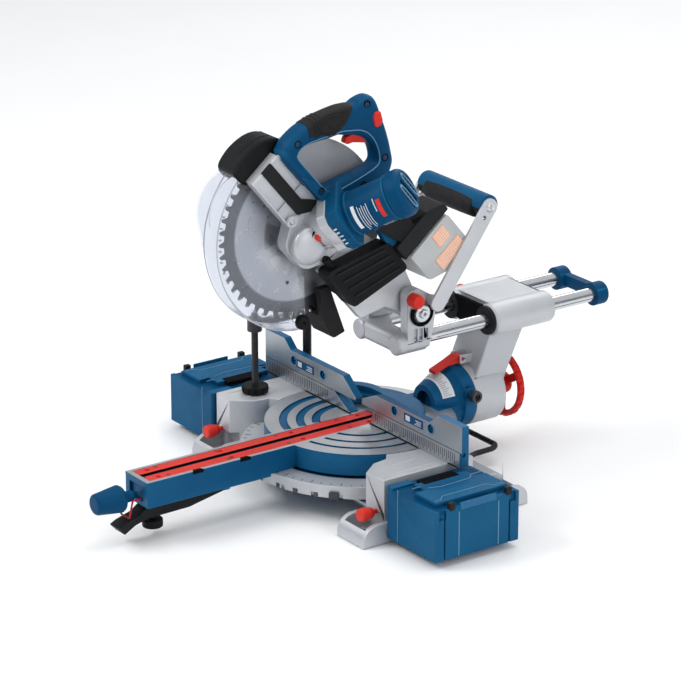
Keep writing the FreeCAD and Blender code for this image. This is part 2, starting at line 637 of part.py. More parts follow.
def hand_wheel():
    """Red wheel that locks the bevel, on the rear end of the bevel shaft."""
    outer, hub = dims.wheel_radius, 16
    back = dims.barrel_end + 0.4
    rim = turned("wheel_rim", [(outer - 9, 24), (outer - 9, 30, 2), (outer - 4, 34, 2), (outer, 30, 2),
                               (outer, 23, 2), (outer - 4, 20, 2)], (0, back, dims.table_top), "y")
    core = turned("wheel_core", [(0, 13), (hub, 13), (hub, 36, 4), (0, 36)], (0, back, dims.table_top), "y")
    spokes = []
    for n in range(3):
        spoke = box(f"wheel_spoke_{n}", (11, -6, 24), (43, 6, 31))
        spoke.Placement = Placement(Vector(0, number(back), 90), Rotation(X_AXIS, -90)).multiply(
            Placement(Vector(), Rotation(Z_AXIS, 90 + 120 * n))).multiply(spoke.Placement)
        spokes.append(spoke)
    bore = rod("wheel_bore", (0, 200, dims.table_top), "y", 70, dims.bevel_shaft_radius + dims.running_gap)
    flutes = []
    for n in range(18):
        angle = n * math.pi / 9
        centre = (53 * math.cos(angle), 230, 90 + 53 * math.sin(angle))
        flutes.append(rod(f"wheel_flute_{n}", centre, "y", 40, 5))
    finish(cut("bevel_wheel", fuse("wheel_solid", rim, core, *spokes), bore, *flutes), "bevel_wheel")


def bevel_lever():
    """Red lever over the cone that frees the bevel range."""
    side_view = [(126, 131), (150, 139.5), (178, 141), (178, 152, 4), (166, 152, 4), (150, 145), (126, 136)]
    plate = prism("bevel_lever_plate", "YZ", side_view, -7.5, 15)
    trunnions = rod("bevel_lever_trunnions", (-13, 173, 146.5), "x", 26, 2)
    finish(fuse("bevel_lever", plate, trunnions), "bevel_lever")


def slide_lock():
    """Red knob on the left carriage bore that locks the slide."""
    profile = [(0, 0), (4, 0), (4, 12), (9, 13, 1), (9, 24, 3), (0, 24)]
    finish(turned("slide_lock", profile, (-58.5, 236, 214), "-x"), "slide_lock")


# ---------------------------------------------------------------- sliding rails

def rails():
    for label, side in SIDES:
        finish(rod(f"rail_{label}", (dims.rail_half_spacing * side, dims.rail_front, dims.rail_height), "y",
                   dims.rail_rear - dims.rail_front, dims.rail_radius), f"rail_{label}")
    spread, high = dims.rail_half_spacing, dims.rail_height
    cups = [turned(f"end_cup_{label}", [(0, 0), (17, 0, 1), (17, 22, 4), (0, 22)],
                   (spread * side, dims.rail_rear - 9, high), "y") for label, side in SIDES]
    bar = box("end_bar", (-spread, dims.rail_rear - 3, high - 8), (spread, dims.rail_rear + 10, high + 10))
    holes = [rod(f"end_hole_{label}", (spread * side, dims.rail_rear - 20, high), "y", 20, dims.rail_radius)
             for label, side in SIDES]
    finish(cut("rail_end_cap", fuse("end_cap_solid", *cups, bar), *holes), "rail_end_cap")


def rail_head():
    """Front casting that holds the rails and carries the head hinge between two brackets."""
    spread, high = dims.rail_half_spacing, dims.rail_height
    back, up = dims.hinge_back, dims.hinge_height
    bosses = [turned(f"rail_boss_{label}", [(0, 0), (15, 0, 4), (15, 50, 1), (0, 50)],
                     (spread * side, 26, high - 4), "y") for label, side in SIDES]
    beam = prism("head_beam", "YZ", [(28, 194, 8), (28, 220, 8), (58, 222, 4), (58, 194, 8)],
                 -spread, spread * 2)
    brackets = [prism(f"hinge_bracket_{label}", "YZ",
                      [(42, 200), (40, 287, 9), (60, 290, 9), (92, 270, 14), (86, 226, 20), (80, 200)],
                      span_x(side, dims.bracket_inner, dims.bracket_outer)[0],
                      dims.bracket_outer - dims.bracket_inner) for label, side in SIDES]
    bolt_bore = rod("hinge_bore", (-80, back, up), "x", 160, dims.hinge_pin_radius + 0.02)
    lock_bore = rod("lock_bore", (20, 48, 277), "x", 60, 3.05)
    rail_holes = [rod(f"rail_hole_{label}", (spread * side, dims.rail_front, high), "y", 60, dims.rail_radius)
                  for label, side in SIDES]
    windows, rings = [], []
    for label, side in SIDES:
        low, high_x = span_x(side, dims.bracket_outer - 4, dims.bracket_outer + 5)
        windows += [box(f"window_{label}_{n}", (low, y, 211 + 2 * n), (high_x, y + 6.5, 230 - n))
                    for n, y in enumerate((52, 61, 70))]
        rings.append(cut(f"recess_ring_{label}",
                         rod(f"recess_out_{label}", (low, back, up), "x", 9, 18),
                         rod(f"recess_in_{label}", (low, back, up), "x", 9, 13)))
    solid = fuse("rail_head_solid", *bosses, beam, *brackets)
    finish(cut("rail_head", solid, bolt_bore, lock_bore, *rail_holes, *windows, *rings), "rail_head")


def hinge_bolt():
    pin = rod("hinge_pin_body", (-dims.bracket_outer, dims.hinge_back, dims.hinge_height), "x",
              dims.bracket_outer * 2, dims.hinge_pin_radius)
    heads = [turned(f"hinge_head_{label}", [(0, 0), (9, 0), (9, 4, 1), (0, 4)],
                    (dims.bracket_outer * side, dims.hinge_back, dims.hinge_height), axis)
             for (label, side), axis in zip(SIDES, ("-x", "x"))]
    finish(fuse("hinge_bolt", pin, *heads), "hinge_bolt")


def head_lock():
    """Red pull pin that holds the head down for carrying."""
    profile = [(0, 0), (3, 0), (3, 18.4), (6.5, 18.4, 1), (6.5, 30, 2), (0, 30)]
    finish(turned("head_lock", profile, (dims.bracket_inner + 0.4, 48, 277), "x"), "head_lock")


def carry_handle():
    """Two flat arms and a two-part grip across the saw."""
    low_back, low_up = 80, 270
    back, up = dims.carry_back, dims.carry_height
    run = Vector(0, number(back) - low_back, number(up) - low_up)
    lean = Rotation(X_AXIS, -math.degrees(math.atan2(run.y, run.z)))
    for label, side in SIDES:
        low, _ = span_x(side, dims.carry_grip_half, dims.carry_grip_half + 5)
        flat = prism(f"carry_flat_{label}", "YZ",
                     [(-12.5, -12.5, 12), (-12.5, run.Length + 12.5, 12), (12.5, run.Length + 12.5, 12),
                      (12.5, -12.5, 12)], low, 5)
        flat.Placement = Placement(Vector(number(low), low_back, low_up), lean)
        spacer_start = dims.bracket_outer * side
        spacer = rod(f"carry_spacer_{label}", (spacer_start, low_back, low_up), "x" if side > 0 else "-x",
                     dims.carry_grip_half + 2 - dims.bracket_outer, 8)
        hole = rod(f"carry_hole_{label}", (60 * side, number(back) - run.y * 0.11, number(up) - run.z * 0.11),
                   "x" if side > 0 else "-x", 30, 3)
        finish(cut(f"carry_arm_{label}", fuse(f"carry_solid_{label}", flat, spacer), hole),
               f"carry_arm_{label}")
    half, radius = dims.carry_grip_half, dims.carry_grip_radius
    for label, low_z, high_z in (("upper", up, up + 20), ("lower", up - 20, up)):
        bar = rod(f"grip_bar_{label}", (-half, back, up), "x", half * 2, radius)
        slab = box(f"grip_slab_{label}", (-half, back - 20, low_z), (half, back + 20, high_z))
        finish(common(f"carry_grip_{label}", bar, slab), f"carry_grip_{label}")


# ---------------------------------------------------------------- saw head (lowered frame)

def motor_axis_point(distance):
    """A point on the motor's axis, which climbs to the right from the gear case."""
    tilt = math.radians(dims.motor_tilt.number)
    return (20 + distance * math.cos(tilt), dims.arbor_back.number, -47 + distance * math.sin(tilt))


MOTOR_TURN = Rotation(Y_AXIS, 90 - dims.motor_tilt.number)


def along_arbor(name, start, length, radius):
    return rod(name, (start, dims.arbor_back, dims.arbor_height), "x", length, radius)


def upper_guard():
    """Fixed drum over the top half of the blade."""
    half = dims.drum_half_width
    outer = along_arbor("drum_outer", -half, half * 2, dims.drum_radius)
    inner = along_arbor("drum_inner", -half + 2, half * 2 - 4, dims.drum_radius - 2.5)
    below = box("drum_below", (-40, -400, -220), (40, 0, -56))
    spindle = along_arbor("drum_spindle", 0, 40, dims.boss_radius)
    access = along_arbor("drum_access", -40, 40, 24)
    finish_on_head(cut("upper_guard", outer, inner, below, spindle, access), "upper_guard")


def front_cover():
    """Black shroud ahead of the drum that the lower guard turns through."""
    outline = [(-378, -62, 6), (-382, -34, 12), (-374, 0, 16), (-360, 16, 10), (-340, 12, 4), (-338, -6),
               (-344, -36), (-352, -62, 4)]
    shell = prism("cover_shell", "YZ", outline, -22, 44)
    passage = along_arbor("cover_passage", -17.5, 35, 166)
    finish_on_head(cut("front_cover", shell, passage), "front_cover")


def gear_housing():
    """Silver gear case: bearing boss, front arm with two bands, and motor flange cone."""
    bearing = along_arbor("case_bearing", 10.5, 12, dims.boss_radius)
    case = prism("case_plate", "YZ",
                 [(-262, -58), (-244, -84, 20), (-196, -84, 22), (-180, -60, 10), (-168, -10, 12),
                  (-196, 14), (-262, 8)], 20, 22)
    arm = box("case_arm", (22, -354, -58), (40, -256, -5))
    boss = turned("case_boss", [(0, 0), (28, 0), (28, 13, 4), (0, 13)], (40, dims.arbor_back, -54), "x")
    cone = cut("case_cone_cut", turned("case_cone", [(0, 10), (24, 10), (36, 46), (38, 50), (38, 61.7),
                                                     (0, 61.7)],
                                       motor_axis_point(0), MOTOR_TURN),
               box("cone_guard_space", (-40, -300, -120), (20, -120, 60)))
    screw_boss = rod("case_screw_boss", (36, -266, -48), "x", 9, 7)
    inlay_space = box("case_inlay_space", (36, -360, -33), (50, -262, -20))
    button_space = rod("case_button_space", (46, dims.arbor_back, -42), "x", 20, 9)
    pin_space = rod("case_pin_space", (30, dims.arbor_back, -42), "x", 30, 4.05)
    arbor_space = along_arbor("case_arbor_space", 0, 24, dims.arbor_radius + dims.running_gap)
    solid = fuse("case_solid", bearing, case, arm, boss, cone, screw_boss)
    finish_on_head(cut("gear_housing", solid, inlay_space, button_space, pin_space, arbor_space),
                   "gear_housing")


def motor():
    """Flange band, barrel and slotted end cap on the climbing motor axis."""
    band = turned("motor_band", [(0, 62), (38, 62), (38, 76, 2), (31, 79), (31, 148), (0, 148)],
                  motor_axis_point(0), MOTOR_TURN)
    finish_on_head(group("motor_housing", band), "motor_housing")
    end = turned("motor_end_body", [(0, 148), (33, 148), (34, 152), (34, 170, 9), (0, 170)],
                 motor_axis_point(0), MOTOR_TURN)
    slots = []
    for n, across in enumerate((-15, 0, 15)):
        slot = box(f"end_slot_{n}", (across - 3.5, -22 + abs(across) * 0.4, 164),
                   (across + 3.5, 22 - abs(across) * 0.4, 172))
        slot.Placement = Placement(Vector(*motor_axis_point(0)), MOTOR_TURN).multiply(slot.Placement)
        slots.append(slot)
    finish_on_head(cut("motor_end_cap", end, *slots), "motor_end_cap")


def handle():
    """D handle with rubber grip, trigger, lock-off button and casing screws."""
    near, width = dims.handle_inner, dims.handle_width
    outer = [(-356, -4), (-362, 18, 12), (-349, 72, 40), (-316, 122, 12), (-314, 136, 10), (-303, 149, 10),
             (-274, 142, 20), (-222, 121, 20), (-203, 110, 14), (-194, 80, 12), (-188, 30), (-188, -4)]
    opening = [(-333, 16, 8), (-303, 77, 14), (-262, 100, 8), (-232, 84, 10), (-259, 21, 10)]
    frame = prism("handle_outer", "YZ", outer, near, width)
    hole = prism("handle_hole", "YZ", opening, 0, 100)
    bridge = prism("handle_bridge", "YZ", [(-300, -4), (-292, 10), (-214, 34), (-176, 34), (-176, -4)],
                   near, 50)
    motor_space = turned("motor_space", [(0, 20), (38.4, 20), (38.4, 77), (31.4, 80), (31.4, 147.7),
                                         (34.4, 148), (34.4, 171), (0, 171)],
                         motor_axis_point(0), MOTOR_TURN)
    case_space = box("case_space", (0, -370, -90), (100, 0, -4.8))
    case_block = prism("case_block_space", "YZ",
                       [(-262.3, -90), (-262.3, 8.3), (-195.7, 14.3), (-167.5, -10), (-167.5, -90)], 0, 42.3)
    trigger_slot = box("trigger_slot", (near + 9, -300, 64), (near + 23, -258, 112))
    lock_slot = box("lock_slot", (near + 9, -286, 120), (near + 23, -260, 170))
    solid = rounded("handle_rounded", cut("handle_cut", frame, hole), 7,
                    lambda m, s: abs(m.x - number(near)) < 0.1 and s.x < 0.1 and m.z > 20,
                    lambda m, s: abs(m.x - number(near + width)) < 0.1 and s.x < 0.1 and m.z > 20)
    body = fuse("handle_with_bridge", solid, bridge)
    finish_on_head(cut("handle_frame", body, motor_space, case_space, case_block, trigger_slot, lock_slot),
                   "handle_frame")


def handle_fittings():
    near, width = dims.handle_inner, dims.handle_width
    middle = near + width * 0.5
    finish_on_head(group("trigger_piece",
                         prism("trigger_plate", "YZ",
                               [(-292, 80), (-280, 70, 4), (-268, 84, 4), (-262, 100), (-270, 106),
                                (-288, 98)],
                               middle - 6.5, 13)), "trigger")
    finish_on_head(group("lock_off_piece",
                         box("lock_off_block", (middle - 6.5, -284, 124), (middle + 6.5, -262, 150))),
                   "lock_off")
    screws = [turned(f"handle_screw_{n}", [(0, 0), (4, 0), (4, 2), (2, 2), (2, 0.8), (0, 0.8)],
                     (near + width, y, z), "x")
              for n, (y, z) in enumerate(((-350, 22), (-323, 70), (-303, 134), (-224, 105), (-203, 46)))]
    finish_on_head(group("handle_screws", *screws), "handle_screws")


def head_arm():
    """Casting from the gear case back to the hinge barrel."""
    web = prism("arm_web", "YZ",
                [(-168, -66), (-60, -66), (-39, -28, 6), (-16, -17), (16, -16, 14), (16, 16, 14),
                  (-16, 20, 10),
                 (-70, 34, 10), (-166, 16)], 22, 12)
    barrel = rod("arm_barrel", (-36, 0, 0), "x", 72, 16)
    left_web = prism("arm_left_web", "YZ", [(-50, -22), (0, -15), (0, 15), (-50, 24)], -34, 66)
    link = box("drum_link", (-12, -92, -4), (30, -44, 22))
    drum_space = along_arbor("drum_space", -60, 120, dims.drum_radius)
    bore = rod("arm_bore", (-60, 0, 0), "x", 120, dims.hinge_pin_radius + dims.running_gap)
    inner = cut("drum_link_cut", link, drum_space)
    finish_on_head(cut("head_arm", fuse("arm_solid", web, barrel, left_web, inner), bore), "head_arm")


def dust_parts():
    """Ribbed cover, dust tube and rubber chute behind the blade."""
    shape = [(-178, -70, 8), (-128, 30, 8), (-72, 27, 6), (-102, -70, 8)]
    cover = prism("dust_cover_body", "YZ", shape, 34.3, 27)
    ribs = []
    for n, shift in enumerate((14, 30, 46, 62)):
        ribs.append(prism(f"dust_rib_{n}", "YZ",
                          [(-178 + shift, -58), (-175 + shift, -58), (-137 + shift * 0.86, 18),
                           (-140 + shift * 0.86, 18)], 61, 2.5))
    tube = turned("dust_tube", [(0, 0), (3, 0), (3, 4), (6, 4), (6, 34), (0, 34)], (49, -190, -52), "y")
    finish_on_head(fuse("dust_cover", cover, *ribs, tube), "dust_cover")
    flap = prism("chute_body", "YZ", [(-130, -66), (-58, -92), (-66, -112, 6), (-96, -106, 14), (-140, -80)],
                 -24, 48)
    slot = along_arbor("chute_slot", -10, 20, dims.blade_radius + 5)
    arm_space = box("chute_arm_space", (21.8, -200, -66.2), (60, 0, 40))
    finish_on_head(cut("dust_chute", flap, slot, arm_space), "dust_chute")


def battery_parts():
    """Bracket, dock and the removable pack behind the motor."""
    bracket = prism("battery_bracket_body", "YZ",
                    [(-186.6, 18), (-186.6, 48), (-140, 72), (-118, 72), (-118, 40), (-150, 30)], 34.5, 34)
    motor_clear = turned("bracket_motor_space",
                         [(0, 0), (38.2, 0), (38.2, 78), (31.2, 80), (31.2, 147), (34.2, 148), (34.2, 171),
                          (0, 171)], motor_axis_point(0), MOTOR_TURN)
    handle_clear = box("bracket_handle_space", (0, -230, -20), (74.5, -175.5, 34.5))
    bracket = cut("battery_bracket", bracket, motor_clear, handle_clear)
    dock = prism("dock_body", "YZ", [(-118, 30), (-118, 96, 8), (-104, 124, 6), (-89, 124), (-89, 30)],
                 20, 50)
    rails_cut = [box(f"dock_rail_space_{n}", (x, -93, 20), (x + 4, -80, 130))
                 for n, x in enumerate((20, 66))]
    rails_cut.append(box("dock_arm_space", (0, -130, 0), (34.3, 0, 36.5)))
    finish_on_head(fuse("battery_dock", cut("dock_cut", dock, *rails_cut), bracket), "battery_dock")
    pack = prism("battery_body", "YZ",
                 [(-88.4, 36, 3), (-88.4, 118, 6), (-24, 118, 10), (-14, 84, 12), (-36, 36, 8)], 17.5, 53)
    finish_on_head(group("battery_pack_node", pack), "battery_pack")


# ---------------------------------------------------------------- blade, guard and small head parts

def saw_blade():
    """Toothed disc: one tooth padded and patterned round the rim."""
    teeth = 44
    root, tip = dims.blade_radius - 9, dims.blade_radius
    body = doc.addObject("PartDesign::Body", "blade_body")
    disc_sketch = new_sketch(body, "YZ", "blade_disc")
    rim = disc_sketch.addGeometry(Part.Circle(Vector(), Z_AXIS, root.number), False)
    made = disc_sketch.addConstraint(Sketcher.Constraint("Radius", rim, root.number))
    disc_sketch.setExpression(f"Constraints[{made}]", root.formula)
    disc_sketch.addConstraint(Sketcher.Constraint("Coincident", rim, 3, -1, 1))
    disc_sketch.addGeometry(Part.Circle(Vector(), Z_AXIS, 8), False)
    disc = body.newObject("PartDesign::Pad", "blade_disc_pad")
    disc.Profile = disc_sketch
    bind(disc, "Length", dims.blade_thickness)
    disc.Midplane = True
    tooth_sketch = new_sketch(body, "YZ", "blade_tooth")
    draw_outline(tooth_sketch, [(root.number - 3, -4.5), (tip.number, 0.5), (tip.number - 2, 4.5),
                                (root.number + 1, 5.5), (root.number - 3, 3)])
    tooth = body.newObject("PartDesign::Pad", "blade_tooth_pad")
    tooth.Profile = tooth_sketch
    bind(tooth, "Length", dims.blade_thickness)
    tooth.Midplane = True
    pattern = body.newObject("PartDesign::PolarPattern", "blade_teeth")
    pattern.Originals = [tooth]
    pattern.Axis = (disc_sketch, ["N_Axis"])
    pattern.Angle = 360
    pattern.Occurrences = teeth
    body.Tip = pattern
    place(body, (0, dims.arbor_back, dims.arbor_height))
    finish_on_head(group("blade_node", body), "saw_blade")


def arbor():
    """Blade spindle with its two flanges and left-hand bolt."""
    half = dims.blade_thickness * 0.5
    inner = along_arbor("arbor_flange_inner", half, 6, 22)
    shaft = along_arbor("arbor_shaft", half, 20, dims.arbor_radius)
    outer = along_arbor("arbor_flange_outer", -half - 5, 5, 20)
    head = along_arbor("arbor_bolt_head", -half - 9, 4, 9)
    nose = along_arbor("arbor_nose", -half, half * 2, 7.95)
    finish_on_head(fuse("arbor", inner, shaft, outer, head, nose), "arbor")


def sector(name, start, length, from_angle, to_angle):
    """A wedge about the arbor that keeps a stretch of the guard."""
    reach = 260
    steps = 4
    points = [(0, 0)] + [(reach * math.cos(math.radians(from_angle + (to_angle - from_angle) * n / steps)),
                          reach * math.sin(math.radians(from_angle + (to_angle - from_angle) * n / steps)))
                         for n in range(steps + 1)]
    moved = [(dims.arbor_back.number + y, dims.arbor_height.number + z) for y, z in points]
    return prism(name, "YZ", moved, start, length)


def guard_outline(name, start, length, shrink):
    """Guard profile: a disc about the arbor drawn out to a rounded nose at the front."""
    reach, nose_radius, nose_angle = 104, 60, math.radians(203)
    radius = dims.guard_radius - shrink
    disc = along_arbor(f"{name}_disc", start, length, radius)
    nose_back = dims.arbor_back.number + reach * math.cos(nose_angle)
    nose_up = dims.arbor_height.number + reach * math.sin(nose_angle)
    nose = rod(f"{name}_nose", (start, nose_back, nose_up), "x", length, nose_radius - shrink)
    spread = math.acos((dims.guard_radius.number - nose_radius) / reach)
    corners = []
    for sign in (-1, 1):
        angle = nose_angle + sign * spread
        corners.append([(y + r * math.cos(angle), z + r * math.sin(angle)) for y, z, r in
                        ((dims.arbor_back.number, dims.arbor_height.number, radius.number),
                         (nose_back, nose_up, nose_radius - shrink))])
    quad = [corners[0][0], corners[0][1], corners[1][1], corners[1][0]]
    return fuse(f"{name}_outline", disc, nose, prism(f"{name}_flank", "YZ", quad, start, length))


def lower_guard():
    """Clear guard round the lower front of the blade, turning on the gear case bearing."""
    half = dims.guard_half_width
    shell = cut("guard_shell", guard_outline("guard_outer", -half, half * 2, 0),
                guard_outline("guard_inner", -half + 1.8, half * 2 - 3.6, 2.5))
    kept = common("guard_kept", shell, sector("guard_sector", -40, 80, 181, 322))
    opened = cut("guard_opened", kept, along_arbor("guard_open", -40, 80, 64))
    hub = cut("guard_hub_ring", along_arbor("guard_hub_disc", half - 1.8, 1.8, 37),
              along_arbor("guard_hub_bore", 0, 40, dims.boss_radius + dims.running_gap))
    spokes = []
    for n, angle in enumerate((200, 250, 305)):
        spoke = box(f"guard_spoke_{n}", (half - 1.8, 31, -7), (half, 74, 7))
        turn = Placement(Vector(0, dims.arbor_back.number, dims.arbor_height.number), Rotation(X_AXIS, angle))
        spoke.Placement = turn.multiply(Placement(Vector(half.number - 1.8, 31, -7), Rotation()))
        spokes.append(spoke)
    finish_on_head(fuse("lower_guard", opened, hub, *spokes), "lower_guard")
    angle = math.radians(318)
    centre = (dims.arbor_back.number + 128 * math.cos(angle), dims.arbor_height.number + 128 * math.sin(angle))
    roller = turned("roller_body",
                    [(0, 0), (5, 0), (5, 2), (10.5, 2.4, 1), (10.5, 10, 2), (3, 10), (3, 8), (0, 8)],
                    (half, *centre), "x")
    finish_on_head(group("guard_roller_node", roller), "guard_roller")


def spindle_lock():
    """Red push button over the arbor."""
    button = turned("spindle_button", [(0, 0), (4, 0), (4, 14.5), (7, 14.5), (7, 21, 2), (0, 21)],
                    (34, dims.arbor_back, -42), "x")
    finish_on_head(group("spindle_lock_node", button), "spindle_lock")


# ---------------------------------------------------------------- assembly

base_pan()
mitre_scale()
rear_bracket()
for side_label, side_sign in SIDES:
    wing(side_label, side_sign)
    side_support(side_label, side_sign)
    support_lock(side_label, side_sign)
fixed_fence()
sliding_fences()
clamp()
turntable_casting()
table_plate()
kerf_inserts()
arm_fittings()
mitre_knob()
detent_lever()
swan_neck()
bearing_covers()
hand_wheel()
bevel_lever()
slide_lock()
rails()
rail_head()
hinge_bolt()
head_lock()
carry_handle()
upper_guard()
front_cover()
gear_housing()
motor()
handle()
handle_fittings()
head_arm()
dust_parts()
battery_parts()
saw_blade()
arbor()
lower_guard()
spindle_lock()
doc.recompute()

for obj in doc.Objects:
    if "Invalid" in obj.State or "Error" in obj.State:
        raise RuntimeError(f"{obj.Name} failed: {obj.State}")
for obj in nodes:
    if obj.Shape.isNull() or not obj.Shape.isValid():
        raise RuntimeError(f"{obj.Label} has no valid shape")
for obj in nodes:
    obj.Shape.exportStep(os.path.join("parts", obj.Label + ".step"))
    print(f"{obj.Label:24s} {len(obj.Shape.Solids)} solids {obj.Shape.Volume / 1000:9.1f} cm3")
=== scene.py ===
import json
import math

import bmesh
import bpy
from mathutils import Matrix, Vector

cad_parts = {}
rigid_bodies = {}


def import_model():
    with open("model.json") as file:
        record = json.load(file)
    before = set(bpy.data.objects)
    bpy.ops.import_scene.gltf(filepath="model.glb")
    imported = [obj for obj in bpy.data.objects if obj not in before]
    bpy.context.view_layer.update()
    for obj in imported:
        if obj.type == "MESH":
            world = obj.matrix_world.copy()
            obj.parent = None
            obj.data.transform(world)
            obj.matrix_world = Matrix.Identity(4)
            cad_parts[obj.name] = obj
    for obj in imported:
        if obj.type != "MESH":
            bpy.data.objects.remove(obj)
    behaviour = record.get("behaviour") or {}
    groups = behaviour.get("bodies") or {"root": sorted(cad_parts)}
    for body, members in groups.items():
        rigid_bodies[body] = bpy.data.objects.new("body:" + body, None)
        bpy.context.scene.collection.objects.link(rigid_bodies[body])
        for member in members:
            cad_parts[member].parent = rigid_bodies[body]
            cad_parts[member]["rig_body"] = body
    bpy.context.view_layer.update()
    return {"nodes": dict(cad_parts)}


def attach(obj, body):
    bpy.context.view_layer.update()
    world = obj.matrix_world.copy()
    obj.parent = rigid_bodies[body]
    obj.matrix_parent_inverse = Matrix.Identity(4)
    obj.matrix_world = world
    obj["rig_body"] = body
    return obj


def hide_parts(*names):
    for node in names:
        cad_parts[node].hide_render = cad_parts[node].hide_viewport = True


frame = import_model()
NODES = frame["nodes"]
MM = 0.001
RIGHT = (1, 0, 0)


def turn(degrees, axis="Z"):
    return Matrix.Rotation(math.radians(degrees), 4, axis)


HINGE = Vector((0, 64, 253))
HEAD = Matrix.Translation(HINGE) @ turn(-50, "X")
SPINDLE = Vector((0, -220.5, -43))
ARBOR = HEAD @ SPINDLE
MOTOR = HEAD @ Matrix.Translation((20, -220.5, -47)) @ turn(44, "Y")
MOTOR_SKIN = (31.0, 31.55)
RAIL_X, RAIL_Z = 42.5, 211.5
TEETH = 48
BATTERY_PANELS = (((-84, 78), (-60, 102)), ((-52, 60), (-30, 110)))
WEAVE_PITCH = 4
FENCE_TICK_PITCH = 4.5
WELD, SLIVER, FLAT = 3e-6, 2e-6, math.radians(0.7)
AZIMUTH, ELEVATION, LENS = math.radians(54.54), math.radians(20.1), 188.8
CAMERA_PLACE = (3.8335, -2.7653, 1.9382)


# ---- camera, floor and light

def make_stage():
    scene = bpy.context.scene
    scene.view_settings.view_transform = "Standard"
    lens = bpy.data.cameras.new("camera")
    lens.sensor_width, lens.lens = 36, LENS
    camera = bpy.data.objects.new("camera", lens)
    back = Vector((math.sin(AZIMUTH) * math.cos(ELEVATION),
                   -math.cos(AZIMUTH) * math.cos(ELEVATION), math.sin(ELEVATION)))
    camera.location = CAMERA_PLACE
    camera.rotation_mode = "QUATERNION"
    camera.rotation_quaternion = (-back).to_track_quat("-Z", "Y")
    scene.collection.objects.link(camera)
    scene.camera = camera

    bm = bmesh.new()
    bmesh.ops.create_grid(bm, x_segments=8, y_segments=8, size=14)
    mesh = bpy.data.meshes.new("floor")
    bm.to_mesh(mesh)
    bm.free()
    floor = bpy.data.objects.new("floor", mesh)
    floor.location.z = -0.0008
    scene.collection.objects.link(floor)
    mesh.materials.append(plain_finish("floor_paper", (0.9, 0.905, 0.91), 0.75, mottle=0.01,
                                       mottle_scale=3, grain=0.0002, grain_scale=300))

    world = bpy.data.worlds.new("studio")
    world.use_nodes = True
    tree = world.node_tree
    background = tree.nodes["Background"]
    height = tree.nodes.new("ShaderNodeSeparateXYZ")
    tree.links.new(tree.nodes.new("ShaderNodeTexCoord").outputs["Generated"], height.inputs[0])
    sky = tree.nodes.new("ShaderNodeValToRGB")
    for position, grey in ((0.0, 0.42), (0.47, 0.3), (0.6, 0.5), (0.8, 1.0)):
        stop = sky.color_ramp.elements.new(position)
        stop.color = (grey * 0.97, grey * 0.985, grey, 1)
    shift = tree.nodes.new("ShaderNodeMapRange")
    shift.inputs["From Min"].default_value = -1
    tree.links.new(height.outputs["Z"], shift.inputs["Value"])
    tree.links.new(shift.outputs["Result"], sky.inputs["Fac"])
    tree.links.new(sky.outputs["Color"], background.inputs["Color"])
    background.inputs["Strength"].default_value = 0.72
    scene.world = world
    for name, size, power, place, aim in (
            ("key", (1.5, 1.1), 52, (-1.1, -2.4, 2.5), (0, 0, 0.2)),
            ("top", (1.6, 1.6), 26, (0.3, 0.5, 2.9), (0, 0.05, 0.2)),
            ("fill", (0.9, 1.9), 25, (2.9, 0.3, 1.3), (0, 0, 0.25)),
            ("back", (1.6, 0.8), 14, (-1.8, 2.4, 1.8), (0, 0, 0.3))):
        light = bpy.data.lights.new(name, "AREA")
        light.shape, light.size, light.size_y, light.energy = "RECTANGLE", size[0], size[1], power
        lamp = bpy.data.objects.new(name, light)
        lamp.location = place
        lamp.rotation_mode = "QUATERNION"
        lamp.rotation_quaternion = (Vector(aim) - Vector(place)).to_track_quat("-Z", "Y")
        scene.collection.objects.link(lamp)


# ---- materials

